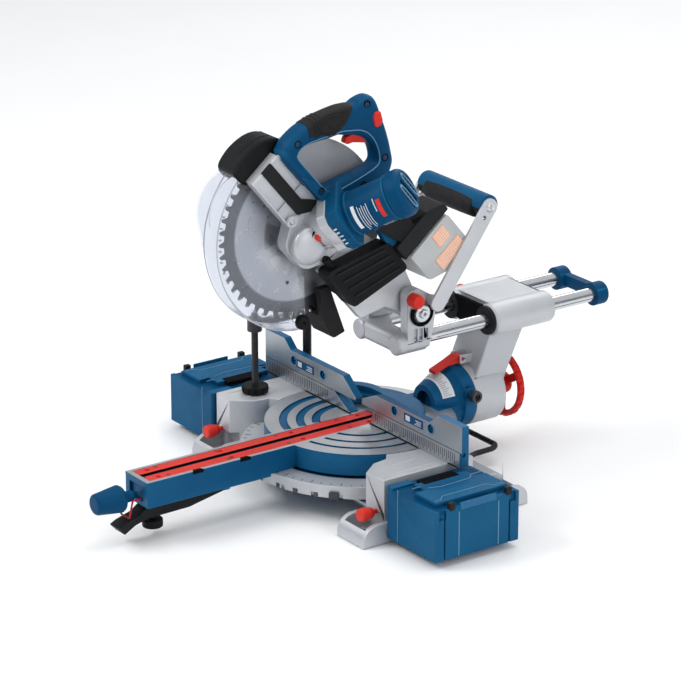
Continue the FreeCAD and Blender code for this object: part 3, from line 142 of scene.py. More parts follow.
class Graph:
    """A material's node tree with short calls."""

    def __init__(self, name):
        self.material = bpy.data.materials.new(name)
        self.material.use_nodes = True
        self.tree = self.material.node_tree
        self.shader = self.tree.nodes["Principled BSDF"]
        self.coords = self.add("ShaderNodeTexCoord").outputs["Object"]

    def add(self, kind, **settings):
        node = self.tree.nodes.new(kind)
        for key, value in settings.items():
            setattr(node, key, value)
        return node

    def link(self, out, into):
        self.tree.links.new(out, into)

    def noise(self, scale, detail=3.0, rough=0.55, stretch=None):
        node = self.add("ShaderNodeTexNoise")
        node.inputs["Scale"].default_value = scale
        node.inputs["Detail"].default_value = detail
        node.inputs["Roughness"].default_value = rough
        source = self.coords
        if stretch:
            mapping = self.add("ShaderNodeMapping")
            mapping.inputs["Scale"].default_value = stretch
            self.link(source, mapping.inputs["Vector"])
            source = mapping.outputs["Vector"]
        self.link(source, node.inputs["Vector"])
        return node.outputs["Fac"]

    def radius(self, centre, keep):
        """Distance from an axis through centre; keep is 1 for the two directions across it."""
        move = self.add("ShaderNodeVectorMath", operation="SUBTRACT")
        move.inputs[1].default_value = centre
        self.link(self.coords, move.inputs[0])
        flat = self.add("ShaderNodeVectorMath", operation="MULTIPLY")
        flat.inputs[1].default_value = keep
        self.link(move.outputs[0], flat.inputs[0])
        length = self.add("ShaderNodeVectorMath", operation="LENGTH")
        self.link(flat.outputs[0], length.inputs[0])
        return length.outputs["Value"]

    def rings(self, centre, keep, scale):
        """Noise that changes only with the distance from an axis, as turning marks do."""
        node = self.add("ShaderNodeTexNoise", noise_dimensions="1D")
        node.inputs["Scale"].default_value = scale
        node.inputs["Detail"].default_value = 3
        self.link(self.radius(centre, keep), node.inputs["W"])
        return node.outputs["Fac"]

    def ramp(self, fac, stops):
        node = self.add("ShaderNodeValToRGB")
        ramp = node.color_ramp
        while len(ramp.elements) < len(stops):
            ramp.elements.new(0.5)
        for element, (position, colour) in zip(ramp.elements, stops):
            element.position = position
            element.color = (*colour, 1)
        self.link(fac, node.inputs["Fac"])
        return node.outputs["Color"]

    def range(self, value, low, high, to_low, to_high):
        node = self.add("ShaderNodeMapRange")
        for key, number in (("From Min", low), ("From Max", high), ("To Min", to_low), ("To Max", to_high)):
            node.inputs[key].default_value = number
        self.link(value, node.inputs["Value"])
        return node.outputs["Result"]

    def mix(self, fac, shade, colour):
        node = self.add("ShaderNodeMix", data_type="RGBA")
        self.link(fac, node.inputs["Factor"])
        self.link(shade, node.inputs[6])
        node.inputs[7].default_value = (*colour, 1)
        return node.outputs[2]

    def bump(self, height, distance):
        node = self.add("ShaderNodeBump")
        node.inputs["Distance"].default_value = distance
        self.link(height, node.inputs["Height"])
        return node.outputs["Normal"]

    def edges(self):
        """1 along convex edges, where the finishes get a painted highlight."""
        return self.range(self.add("ShaderNodeNewGeometry").outputs["Pointiness"], 0.515, 0.56, 0, 1)


def tint(colour, amount):
    return tuple(min(1.0, c * amount) for c in colour)


def plain_finish(name, colour, rough, metal=0.0, mottle=0.06, mottle_scale=22, grain=0.0003,
                 grain_scale=900, edge=None, highlight_share=0.5, spec=0.5):
    """Paint, plastic or cast metal: mottled colour, uneven gloss, fine bump and a painted highlight on
    convex edges.
    """
    g = Graph(name)
    s = g.shader.inputs
    broad = g.noise(mottle_scale, 4)
    fine = g.noise(grain_scale, 2, 0.6)
    shade = g.ramp(broad, [(0.3, tint(colour, 1 - mottle)), (0.7, tint(colour, 1 + mottle))])
    speck = g.range(fine, 0.35, 0.7, 0, 0.35)
    shade = g.mix(speck, shade, tint(colour, 1 + mottle * 1.6))
    # edge is the colour of a painted highlight along convex edges, made patchy by the broad noise.
    if edge:
        edge_highlight = g.add("ShaderNodeMath", operation="MULTIPLY")
        g.link(g.edges(), edge_highlight.inputs[0])
        g.link(g.range(broad, 0.2, 0.8, highlight_share * 0.6, highlight_share), edge_highlight.inputs[1])
        shade = g.mix(edge_highlight.outputs[0], shade, edge)
    g.link(shade, s["Base Color"])
    g.link(g.range(g.noise(mottle_scale * 3.1, 3), 0.3, 0.7, rough - 0.06, rough + 0.06), s["Roughness"])
    g.link(g.bump(fine, grain), s["Normal"])
    s["Metallic"].default_value = metal
    s["Specular IOR Level"].default_value = spec
    return g.material


def turned_metal(name, colour, rough, centre, keep, scale, stops=None, mottle=0.05):
    """Metal with circular machining marks round an axis; stops colour it by the distance from it."""
    g = Graph(name)
    s = g.shader.inputs
    marks = g.rings(centre, keep, scale)
    shade = g.ramp(marks, [(0.3, tint(colour, 1 - mottle)), (0.7, tint(colour, 1 + mottle))])
    if stops:
        far = stops[-1][0]
        zone = g.ramp(g.range(g.radius(centre, keep), 0, far, 0, 1), [(r / far, c) for r, c in stops])
        blend = g.add("ShaderNodeMix", data_type="RGBA", blend_type="MULTIPLY")
        blend.inputs["Factor"].default_value = 1
        g.link(shade, blend.inputs[6])
        g.link(zone, blend.inputs[7])
        shade = blend.outputs[2]
    g.link(shade, s["Base Color"])
    g.link(g.range(g.noise(60, 3), 0.3, 0.7, rough - 0.05, rough + 0.07), s["Roughness"])
    g.link(g.bump(marks, 0.00004), s["Normal"])
    s["Metallic"].default_value = 0.85
    return g.material


def brushed_metal(name, colour, rough, stretch, metal=0.9, scale=500, mottle=0.06, bump=0.00005):
    """Metal ground or drawn along one direction."""
    g = Graph(name)
    s = g.shader.inputs
    lines = g.noise(scale, 4, 0.6, stretch=stretch)
    shade = g.ramp(lines, [(0.32, tint(colour, 1 - mottle)), (0.68, tint(colour, 1 + mottle))])
    g.link(shade, s["Base Color"])
    g.link(g.range(g.noise(40, 3), 0.3, 0.7, rough - 0.04, rough + 0.05), s["Roughness"])
    g.link(g.bump(lines, bump), s["Normal"])
    s["Metallic"].default_value = metal
    return g.material


def clear_finish(name, colour, rough, weight, ior, mottle=0.02):
    """Clear or milky moulded plastic."""
    g = Graph(name)
    s = g.shader.inputs
    shade = g.ramp(g.noise(18, 3), [(0.3, tint(colour, 1 - mottle)), (0.7, colour)])
    g.link(shade, s["Base Color"])
    g.link(g.range(g.noise(120, 4), 0.35, 0.7, rough, rough + 0.06), s["Roughness"])
    g.link(g.bump(g.noise(900, 2), 0.00002), s["Normal"])
    s["Transmission Weight"].default_value = weight
    s["IOR"].default_value = ior
    return g.material


BLUE = (0.0002, 0.052, 0.132)
PAINT = (0.0006, 0.074, 0.185)
SILVER = (0.48, 0.495, 0.525)
RED = (0.56, 0.016, 0.012)
BLACK = (0.0065, 0.007, 0.0078)

# The edge colours below are painted highlights along convex edges.
FINISHES = {
    "silver": plain_finish("cast_silver", SILVER, 0.4, metal=0.45, mottle=0.035, grain=0.00022,
                           grain_scale=1500, edge=(0.7, 0.715, 0.735), highlight_share=0.35),
    "plate": turned_metal("table_face", (0.5, 0.515, 0.54), 0.36, (0, 0, 0), (1, 1, 0), 1400),
    "fence_face": brushed_metal("fence_face", (0.4, 0.425, 0.455), 0.33, (0.06, 1, 1.0), scale=1300),
    "blue_cast": plain_finish("blue_paint", PAINT, 0.34, metal=0.25, mottle=0.07, grain=0.0002,
                              grain_scale=1400, edge=(0.02, 0.16, 0.32), highlight_share=0.5, spec=0.14),
    "blue": plain_finish("blue_plastic", BLUE, 0.42, mottle=0.05, grain=0.0002, grain_scale=1700,
                         edge=(0.02, 0.16, 0.32), highlight_share=0.45, spec=0.07),
    "black": plain_finish("black_plastic", BLACK, 0.46, mottle=0.15, grain=0.00035, grain_scale=1500,
                          edge=(0.035, 0.037, 0.04), highlight_share=0.4, spec=0.1),
    "steel_black": plain_finish("black_steel", (0.014, 0.014, 0.016), 0.3, metal=0.3, mottle=0.12,
                                grain=0.00012, grain_scale=900, edge=(0.1, 0.1, 0.11), spec=0.3),
    "red": plain_finish("red_plastic", RED, 0.36, mottle=0.06, grain=0.00018, grain_scale=1300,
                        edge=(0.8, 0.08, 0.05), highlight_share=0.35, spec=0.15),
    "red_wire": plain_finish("red_wire", (0.45, 0.012, 0.02), 0.3, metal=0.3, mottle=0.08, spec=0.3),
    "chrome": brushed_metal("chromed_rail", (0.62, 0.64, 0.67), 0.2, (1, 0.02, 1), metal=1.0, mottle=0.02,
                            bump=0.00001),
    "steel": brushed_metal("bright_steel", (0.6, 0.615, 0.635), 0.26, (1, 1, 1), scale=700),
    "guard": plain_finish("grey_guard", (0.36, 0.37, 0.39), 0.42, metal=0.3, mottle=0.06,
                          grain_scale=1100, grain=0.0003, edge=(0.6, 0.61, 0.63)),
    "clear": clear_finish("clear_guard", (0.87, 0.89, 0.935), 0.1, 0.93, ior=1.06),
    "rubber": plain_finish("rubber", (0.013, 0.013, 0.014), 0.68, mottle=0.2, grain=0.0006,
                           grain_scale=700, spec=0.16),
    "grip": plain_finish("grip_rubber", (0.012, 0.012, 0.013), 0.62, mottle=0.2, grain=0.0009,
                         grain_scale=620, spec=0.18),
    "pack": clear_finish("pale_pack", (0.6, 0.62, 0.63), 0.35, 0.3, ior=1.2, mottle=0.08),
    "pack_grid": plain_finish("pack_grid", (0.85, 0.46, 0.3), 0.5, mottle=0.06, spec=0.2),
    "label_silver": plain_finish("label_silver", (0.3, 0.34, 0.39), 0.32, metal=0.4, mottle=0.04),
    # A lighter blue painted on rims, ridges, seams and beads of the blue plastic as a highlight.
    "blue_highlight": plain_finish("painted_blue_highlight", (0.12, 0.25, 0.38), 0.35, mottle=0.04),
    # A pale grey painted highlight for the clear guard's edges.
    "guard_highlight": plain_finish("guard_highlight", (0.45, 0.48, 0.53), 0.25, mottle=0.05),
    "rail_line": plain_finish("rail_line", (0.12, 0.125, 0.135), 0.3, metal=0.6, mottle=0.05),
    "rim_plate": plain_finish("name_plate", (0.004, 0.11, 0.24), 0.32, mottle=0.05, spec=0.3),
    "pack_line": plain_finish("pack_line", (0.9, 0.72, 0.62), 0.5, mottle=0.05, spec=0.2),
    "white": plain_finish("white_print", (0.72, 0.74, 0.76), 0.5, mottle=0.04),
    "ink": plain_finish("dark_print", (0.05, 0.055, 0.06), 0.5, mottle=0.1),
    # Near-black matte painted shade, put into wells, slots, gaps and holes.
    "hollow_shade": plain_finish("painted_hollow_shade", (0.004, 0.004, 0.005), 0.8, mottle=0.2, spec=0.05),
    "label": plain_finish("blue_label", (0.002, 0.07, 0.19), 0.35, mottle=0.03, spec=0.15),
    "blade": turned_metal("blade_steel", (0.78, 0.8, 0.83), 0.3, tuple(ARBOR * MM), (0, 1, 1), 1500,
                          stops=[(0.0, (0.66, 0.66, 0.67)), (0.1, (0.6, 0.6, 0.61)),
                                 (0.1035, (0.13, 0.135, 0.15)), (0.118, (0.11, 0.115, 0.125)),
                                 (0.13, (0.16, 0.165, 0.175))]),
    "carbide": plain_finish("carbide", (0.5, 0.51, 0.53), 0.22, metal=0.9, mottle=0.05),
}


# ---- mesh building, in millimetres

def polar(radius, degrees):
    """The two coordinates of a point on a circle."""
    a = math.radians(degrees)
    return radius * math.cos(a), radius * math.sin(a)


def circle(radius, steps):
    return [polar(radius, 360 * k / steps) for k in range(steps)]


def soft(value, power):
    """Bends a sine or cosine so that a circle turns into a rounded square."""
    return math.copysign(abs(value) ** power, value)


def at(x, y, z, look=None):
    """A frame at a point, its Z turned to look along a direction."""
    place = Matrix.Translation((x, y, z))
    return place @ Vector(look).to_track_quat("Z", "Y").to_matrix().to_4x4() if look else place


class Shape:
    """Collects closed solids in one bmesh."""

    def __init__(self, base=None):
        self.bm = bmesh.new()
        self.base = base or Matrix.Identity(4)

    def add(self, points, faces, at=None):
        place = self.base @ (at or Matrix.Identity(4))
        verts = [self.bm.verts.new(place @ Vector(p)) for p in points]
        for face in faces:
            self.bm.faces.new([verts[i] for i in face])
        return self

    def loft(self, rings, at=None, closed=False, caps=None):
        """Skins rings of equal length. Open ends are capped by caps, or else by one face."""
        count, around = len(rings), len(rings[0])
        faces = []
        for i in range(count if closed else count - 1):
            low, high = i * around, (i + 1) % count * around
            faces += [(low + k, low + (k + 1) % around, high + (k + 1) % around, high + k)
                      for k in range(around)]
        if not closed:
            for cap in caps or [tuple(range(around))]:
                faces += [cap[::-1], tuple((count - 1) * around + k for k in cap)]
        return self.add([p for ring in rings for p in ring], faces, at)

    def sheet(self, over, under):
        """A skin between two grids: rows of points on its outer face and on its inner face."""
        rings = [top + bottom[::-1] for top, bottom in zip(over, under)]
        around = len(rings[0])
        return self.loft(rings, caps=[(k, k + 1, around - 2 - k, around - 1 - k)
                                      for k in range(around // 2 - 1)])

    def box(self, corner, opposite, at=None):
        (a, b, c), (d, e, f) = corner, opposite
        return self.loft([[(a, b, z), (d, b, z), (d, e, z), (a, e, z)] for z in (c, f)], at)

    def prism(self, outline, low, high, axis="z"):
        """Outline in the plane across axis, given as (a, b) = the other two axes in order."""
        n = "xyz".index(axis)
        return self.loft([[(*p[:n], level, *p[n:]) for p in outline] for level in (low, high)])

    def arc(self, inner, outer, low, high, start, end, step=3):
        """A flat curved bar round local Z, between two angles in degrees."""
        count = int((end - start) / step)
        rings = []
        for i in range(count + 1):
            near, far = (polar(r, start + (end - start) * i / count) for r in (inner, outer))
            rings.append([(*near, low), (*near, high), (*far, high), (*far, low)])
        return self.loft(rings)

    def turned(self, profile, at=None, steps=40):
        """Revolves (radius, height) points round local Z. Open ends on the axis are closed."""
        points, rings = [], []
        for r, z in profile:
            ring = [(x, y, z) for x, y in circle(r, steps)] if r else [(0, 0, z)]
            rings.append(range(len(points), len(points) + len(ring)))
            points += ring
        faces = []
        for low, high in zip(rings, rings[1:] + (rings[:1] if profile[0][0] else [])):
            for k in range(steps):
                j = (k + 1) % steps
                if len(low) == 1:
                    faces.append((low[0], high[j], high[k]))
                elif len(high) == 1:
                    faces.append((low[k], low[j], high[0]))
                else:
                    faces.append((low[k], low[j], high[j], high[k]))
        return self.add(points, faces, at)

    def tube(self, path, radius, steps=8):
        """A round bar along a path of points."""
        path = [Vector(p) for p in path]
        side, rings = None, []
        for n, p in enumerate(path):
            ahead = (path[min(n + 1, len(path) - 1)] - path[max(n - 1, 0)]).normalized()
            if side is None:
                side = ahead.orthogonal()
            side = (side - ahead * side.dot(ahead)).normalized()
            up = ahead.cross(side)
            rings.append([p + side * x + up * y for x, y in circle(radius, steps)])
        return self.loft(rings)

    def screw(self, at, radius=4.0, height=2.2, star=False):
        """A cap or countersunk head, seen along local +Z, with its drive recess."""
        sides, steps, bottom = 12 if star else 6, 24, -0.4
        inner = [polar(radius * (0.225 if star and k % 3 == 0 else 0.5), 360 * k / sides)
                 for k in range(sides)]
        points = [(0, 0, bottom)]
        for share, z in ((1, bottom), (1, height * 0.7), (0.86, height)):
            points += [(x * share, y * share, z) for x, y in circle(radius, steps)]
        top, rim, share = len(points), 1 + 2 * steps, steps // sides
        points += [(x, y, z) for z in (height, height * 0.35) for x, y in inner]
        points.append((0, 0, height * 0.3))
        faces = [(0, 1 + (k + 1) % steps, 1 + k) for k in range(steps)]
        for a in (1, 1 + steps):
            faces += [(a + k, a + (k + 1) % steps, a + steps + (k + 1) % steps, a + steps + k)
                      for k in range(steps)]
        for k in range(sides):
            j = (k + 1) % sides
            run = [rim + (k * share + m) % steps for m in range(share + 1)]
            faces.append((*run, top + j, top + k))
            faces.append((top + k, top + j, top + sides + j, top + sides + k))
            faces.append((top + sides + k, top + sides + j, len(points) - 1))
        return self.add(points, faces, at)

    def piece(self, name, body, slot, finish, bevel=0.0, segments=2, angle=35, node=None):
        """Makes the object, puts it on its body and names its finish."""
        bmesh.ops.scale(self.bm, vec=(MM, MM, MM), verts=self.bm.verts)
        bmesh.ops.recalc_face_normals(self.bm, faces=self.bm.faces)
        make_piece(self.bm, name, body, [finish], bevel, segments, angle, node)


def make_piece(bm, name, body, finishes, bevel, segments, angle, node):
    """Turns a bmesh into a named object with rounded edges, in place of a CAD node if one is given."""
    mesh = bpy.data.meshes.new(name)
    bm.to_mesh(mesh)
    bm.free()
    for layer in ("custom_normal", "sharp_edge", "sharp_face"):
        if layer in mesh.attributes:
            mesh.attributes.remove(mesh.attributes[layer])
    obj = bpy.data.objects.new(name, mesh)
    bpy.context.scene.collection.objects.link(obj)
    for finish in finishes:
        mesh.materials.append(FINISHES[finish])
    mesh.shade_smooth()
    mesh.set_sharp_from_angle(angle=math.radians(angle))
    if bevel:
        mod = obj.modifiers.new("bevel", "BEVEL")
        mod.width = bevel * MM
        mod.segments = segments
        mod.limit_method = "ANGLE"
        mod.angle_limit = math.radians(angle)
        mod.use_clamp_overlap = False
        mod.harden_normals = True
    if node:
        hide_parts(node)
    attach(obj, body)


# ---- CAD solids with their finishes

def refined(node, finishes, bevel, pick=None, lift=0.0):
    """Stands for a CAD node: the same solid with rounded edges and a finish chosen face by face."""
    source = NODES[node]
    bm = bmesh.new()
    bm.from_mesh(source.data)
    bmesh.ops.remove_doubles(bm, verts=bm.verts, dist=WELD)
    bmesh.ops.dissolve_degenerate(bm, dist=SLIVER, edges=bm.edges)
    bmesh.ops.dissolve_limit(bm, angle_limit=FLAT, verts=bm.verts, edges=bm.edges,
                             use_dissolve_boundaries=False, delimit={"NORMAL"})
    for face in bm.faces:
        face.material_index = pick(face.calc_center_median() / MM, face.normal) if pick else 0
    bmesh.ops.translate(bm, vec=(0, 0, lift * MM), verts=bm.verts)
    make_piece(bm, node + "_shell", source["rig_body"], finishes, bevel, 2, 32, node)


def front_is_bare(centre, normal):
    return 0 if normal.y < -0.9 and centre.y < 1.0 else 1


def groove_is_blue(centre, normal):
    return 0 if centre.z < 87.6 or (centre.z > 89.7 and normal.z > 0.9) else 1


# For each finish and material slot, the CAD nodes that have it and their edge radius.
SHELLS = {
    ("blue_cast", "blue_casting"): {"base_pan": 0.6, "turntable_casting": 1.0},
    ("silver", "silver_casting"): {
        "base_wing_left": 1.0, "base_wing_right": 1.0, "mitre_scale": 0.5, "swan_neck": 1.2,
        "carry_arm_left": 1.0, "carry_arm_right": 1.0, "rail_head": 1.0, "gear_housing": 1.0,
        "head_arm": 1.0},
    ("blue", "blue_plastic"): {
        "support_left": 1.0, "support_right": 1.0, "mitre_knob": 0.8, "rail_end_cap": 1.0,
        "carry_grip_upper": 0.8, "motor_housing": 1.0, "motor_end_cap": 0.8},
    ("red", "red_plastic"): {
        "support_lock_left": 0.5, "support_lock_right": 0.5, "kerf_inserts": 0.5,
        "bevel_wheel": 1.0, "bevel_lever": 0.6, "slide_lock": 0.6},
    ("black", "black_plastic"): {
        "arm_foot": 0.5, "detent_lever": 1.0, "bearing_covers": 0.6, "carry_grip_lower": 0.8,
        "dust_cover": 0.8, "battery_dock": 0.8, "guard_roller": 0.4},
    ("steel", "bright_steel"): {
        "support_rods_left": 0.5, "support_rods_right": 0.5, "pivot_washer": 0.4, "arbor": 0.5},
    ("steel_black", "black_steel"): {
        "rear_wire_bracket": 0.0, "fence_bolts": 0.3, "clamp_arm": 0.6},
    ("steel_black", "bright_steel"): {"clamp_spindle": 0.3},
    ("chrome", "chromed_rail"): {"rail_left": 0.6, "rail_right": 0.6},
    ("red_wire", "red_wire"): {"detent_clip": 0.0},
    ("guard", "grey_guard"): {"upper_guard": 1.2},
    ("rubber", "rubber"): {"dust_chute": 1.4},
    ("blade", "bright_steel"): {"saw_blade": 0.15},
    ("clear", "clear_guard"): {"lower_guard": 0.6},
    ("pack", "pale_pack"): {"battery_pack": 1.4},
}


def dress_shells():
    for (finish, slot), nodes in SHELLS.items():
        for node, bevel in nodes.items():
            refined(node, [finish], bevel)
    for node in ("fixed_fence", "sliding_fence_left", "sliding_fence_right"):
        refined(node, ["fence_face", "blue_cast"], 0.5, front_is_bare)
    refined("table_plate", ["plate", "blue_cast"], 0.3, groove_is_blue)
    refined("clamp_pad", ["black"], 0.5, lift=1.0)


# ---- sculpted handle and head pieces

def smooth_loop(points, steps=4):
    """Closed Catmull-Rom curve through tuples of numbers."""
    out, n = [], len(points)
    for i in range(n):
        a, b, c, d = (points[(i + k) % n] for k in (-1, 0, 1, 2))
        for k in range(steps):
            t = k / steps
            out.append(tuple(0.5 * (2 * q + (r - p) * t + (2 * p - 5 * q + 4 * r - s) * t * t
                                    + (3 * q - p - 3 * r + s) * t ** 3) for p, q, r, s in zip(a, b, c, d)))
    return out


# The handle's middle plane, half its thickness and the power that squares its section.
HANDLE_X, HANDLE_HALF, HANDLE_POWER = 40, 16, 2 / 3.2
# The handle loop in the head frame, as (outer Y, outer Z, inner Y, inner Z).
HANDLE = [(-352, -5, -331, 12), (-360, 5, -336, 16), (-363, 20, -337, 22), (-360, 44, -334, 31),
          (-349, 72, -324, 47), (-332, 103, -313, 62), (-318, 121, -305, 75), (-315, 134, -295, 83),
          (-308, 146, -282, 94), (-296, 149, -268, 101), (-274, 142, -252, 103), (-246, 132, -237, 99),
          (-222, 121, -227, 91), (-204, 110, -229, 80), (-192, 84, -237, 66), (-188, 50, -246, 51),
          (-190, 20, -254, 37), (-200, -2, -261, 22), (-232, -5, -268, 14), (-268, -5, -285, 12),
          (-308, -6, -310, 12)]


def bar_point(station, angle, grow=0.0):
    """A point on the rounded section of the handle at one station; angle 0 faces out, 90 to +X."""
    oy, oz, iy, iz = station
    c, s = polar(1, angle)
    across = soft(c, HANDLE_POWER) * (1 + grow / (math.hypot(oy - iy, oz - iz) / 2))
    depth = soft(s, HANDLE_POWER) * (1 + grow / HANDLE_HALF)
    return Vector((HANDLE_X + HANDLE_HALF * depth, (oy + iy) / 2 + (oy - iy) / 2 * across,
                   (oz + iz) / 2 + (oz - iz) / 2 * across))


def sculpt_handle():
    stations = smooth_loop(HANDLE, 5)
    Shape(HEAD).loft([[bar_point(s, 360 * k / 28) for k in range(28)] for s in stations],
                     closed=True).piece("handle_loop", "head", "blue_plastic", "blue", 0, 3, 40)
    saddle = Shape(HEAD)
    saddle.prism([(-312, -4), (-290, 6), (-268, 9), (-232, 34), (-200, 62), (-178, 70), (-168, 44),
                  (-172, -4)], 26, 58, "x")
    saddle.prism([(-262, 20), (-222, 56), (-214, 72), (-192, 90), (-178, 70), (-186, 50), (-240, 14)],
                 27, 51, "x")
    saddle.prism([(-216, 28), (-188, 82), (-176, 84), (-160, 60), (-164, 22), (-196, 12)], 30, 70, "x")
    saddle.piece("handle_saddle", "head", "blue_plastic", "blue", 3.0, 3, 25, node="handle_frame")
    run = [s for s in stations if 46 < s[1] < 121 and s[0] < -316]
    last, start, steps = len(run) - 1, -100, 18
    over, under = [], []
    for k, station in enumerate(run):
        end = 96 + 34 * math.sin(math.pi * (k / last) ** 1.8) ** 2
        angles = [start + (end - start) * m / steps for m in range(steps + 1)]
        over.append([bar_point(station, a, 0.9) for a in angles])
        under.append([bar_point(station, a, -1.5) for a in angles])
    Shape(HEAD).sheet(over, under).piece("handle_grip", "head", "rubber", "grip", 0.6, 2, 60)
    ribs = Shape(HEAD)
    for level in range(5):
        ribs.tube([bar_point(run[k], 44 + 15 * level + 7 * math.sin(k * 0.8 + level * 0.3), 1.0)
                   for k in range(2, last - 1)], 0.7)
    for level in (0.12, 0.2, 0.28):
        ribs.tube([bar_point(run[round(level * last)], a, 1.0) for a in range(-60, 100, 12)], 0.8)
    ribs.piece("handle_grip_ribs", "head", "rubber", "grip")
    screws, wells = Shape(HEAD), Shape(HEAD)
    for y, z, x in ((-351, 22, 55.6), (-323, 70, 54.6), (-305, 134, 54.6), (-224, 105, 55.6),
                    (-272, 4, 57.6), (-219, 41, 57.8), (-222, 56, 57.8)):
        wells.turned([(0, -1), (5.4, -1), (5.4, 0.6), (4.9, 1.1), (4.3, 0.9), (3.9, 0.0), (0, -0.2)],
                     at(x, y, z, RIGHT), 28)
        screws.screw(at(x - 0.3, y, z, RIGHT), 3.0, 0.7, star=True)
    # The dark wells round the screw heads are painted shade in their recesses.
    wells.piece("handle_screw_wells", "head", "black_plastic", "hollow_shade")
    screws.piece("handle_screw_heads", "head", "black_steel", "steel_black", node="handle_screws")
    # A lighter blue bead along the handle's inner edge: a painted highlight.
    Shape(HEAD).tube([bar_point(s, 122, 0.1) for s in stations + stations[:1]], 0.8).piece(
        "handle_inner_highlight", "head", "blue_plastic", "blue_highlight")


def sculpt_controls():
    tip = Shape(HEAD)
    tip.prism([(-289, 84), (-285, 77), (-279, 79), (-275, 86), (-268, 92), (-259, 99), (-262, 108),
               (-274, 108), (-283, 100)], 34, 46, "x")
    tip.piece("trigger_lever", "trigger", "red_plastic", "red", 2.2, 3, 30, node="trigger")
    slide = Shape(HEAD)
    slide.prism([(-284, 127), (-270, 121), (-265, 128), (-268, 136), (-282, 142), (-288, 134)], 24, 58.2,
                "x")
    slide.piece("lock_off_slide", "lock_off", "red_plastic", "red", 2.2, 3, 30, node="lock_off")
    button = Shape(HEAD)
    button.turned([(0, 34), (6.8, 34), (6.8, 64.2), (6.0, 66.4), (3.6, 67.4), (0, 67.8)],
                  at(0, -229, -41, RIGHT), 32)
    button.piece("spindle_button", "spindle_lock", "red_plastic", "red", node="spindle_lock")
    pocket = Shape(HEAD)
    pocket.turned([(7.2, 50), (11.2, 50), (11.8, 60.4), (11, 61.4), (8.2, 60.2), (7.2, 57)],
                  at(0, -228, -42, RIGHT), 32)
    # The dark ring round the button is painted shade in its pocket.
    pocket.piece("spindle_button_well", "head", "black_plastic", "hollow_shade")


def dress_gear_case():
    boss = Shape(HEAD)
    boss.turned([(0, -2), (27, -2), (27.6, 0), (26.4, 3.2), (22.5, 6.4), (16, 9), (8, 10.4),
                 (0, 10.8)], at(52, -224, -57, RIGHT), 56)
    boss.turned([(4.2, 41), (8.4, 41), (8.4, 45.5), (7.4, 46.6), (4.2, 46.2)],
                at(0, -267, -52, RIGHT), 32)
    boss.piece("boss_cap", "head", "silver_casting", "silver", 0.5, 2, 50)
    Shape(HEAD).screw(at(42, -267, -52, RIGHT), 4.2, 1.6).piece(
        "boss_screw", "head", "black_steel", "steel_black")
    strip = Shape(HEAD)
    strip.prism([(-355, -39), (-355, -20.5), (-278, -20.5), (-247, 4), (-222, 12), (-216, 4), (-242, -8),
                 (-266, -39)], 38, 43.4, "x")
    strip.piece("case_inlay", "head", "black_plastic", "black", 0.5, 2, 40)
    seam = Shape(HEAD)
    seam.box((41.8, -296, -58), (42.35, -295.2, -40))
    seam.box((41.8, -296, -19.5), (42.35, -295.2, -5))
    seam.piece("case_seam", "head", "black_plastic", "ink")
    edge = Shape(HEAD)
    edge.box((38, -354, -59.6), (43.4, -262, -57.4))
    edge.box((38, -354, -5.6), (43.2, -262, -3.8))
    edge.piece("case_rims", "head", "silver_casting", "silver", 0.6, 2, 40)


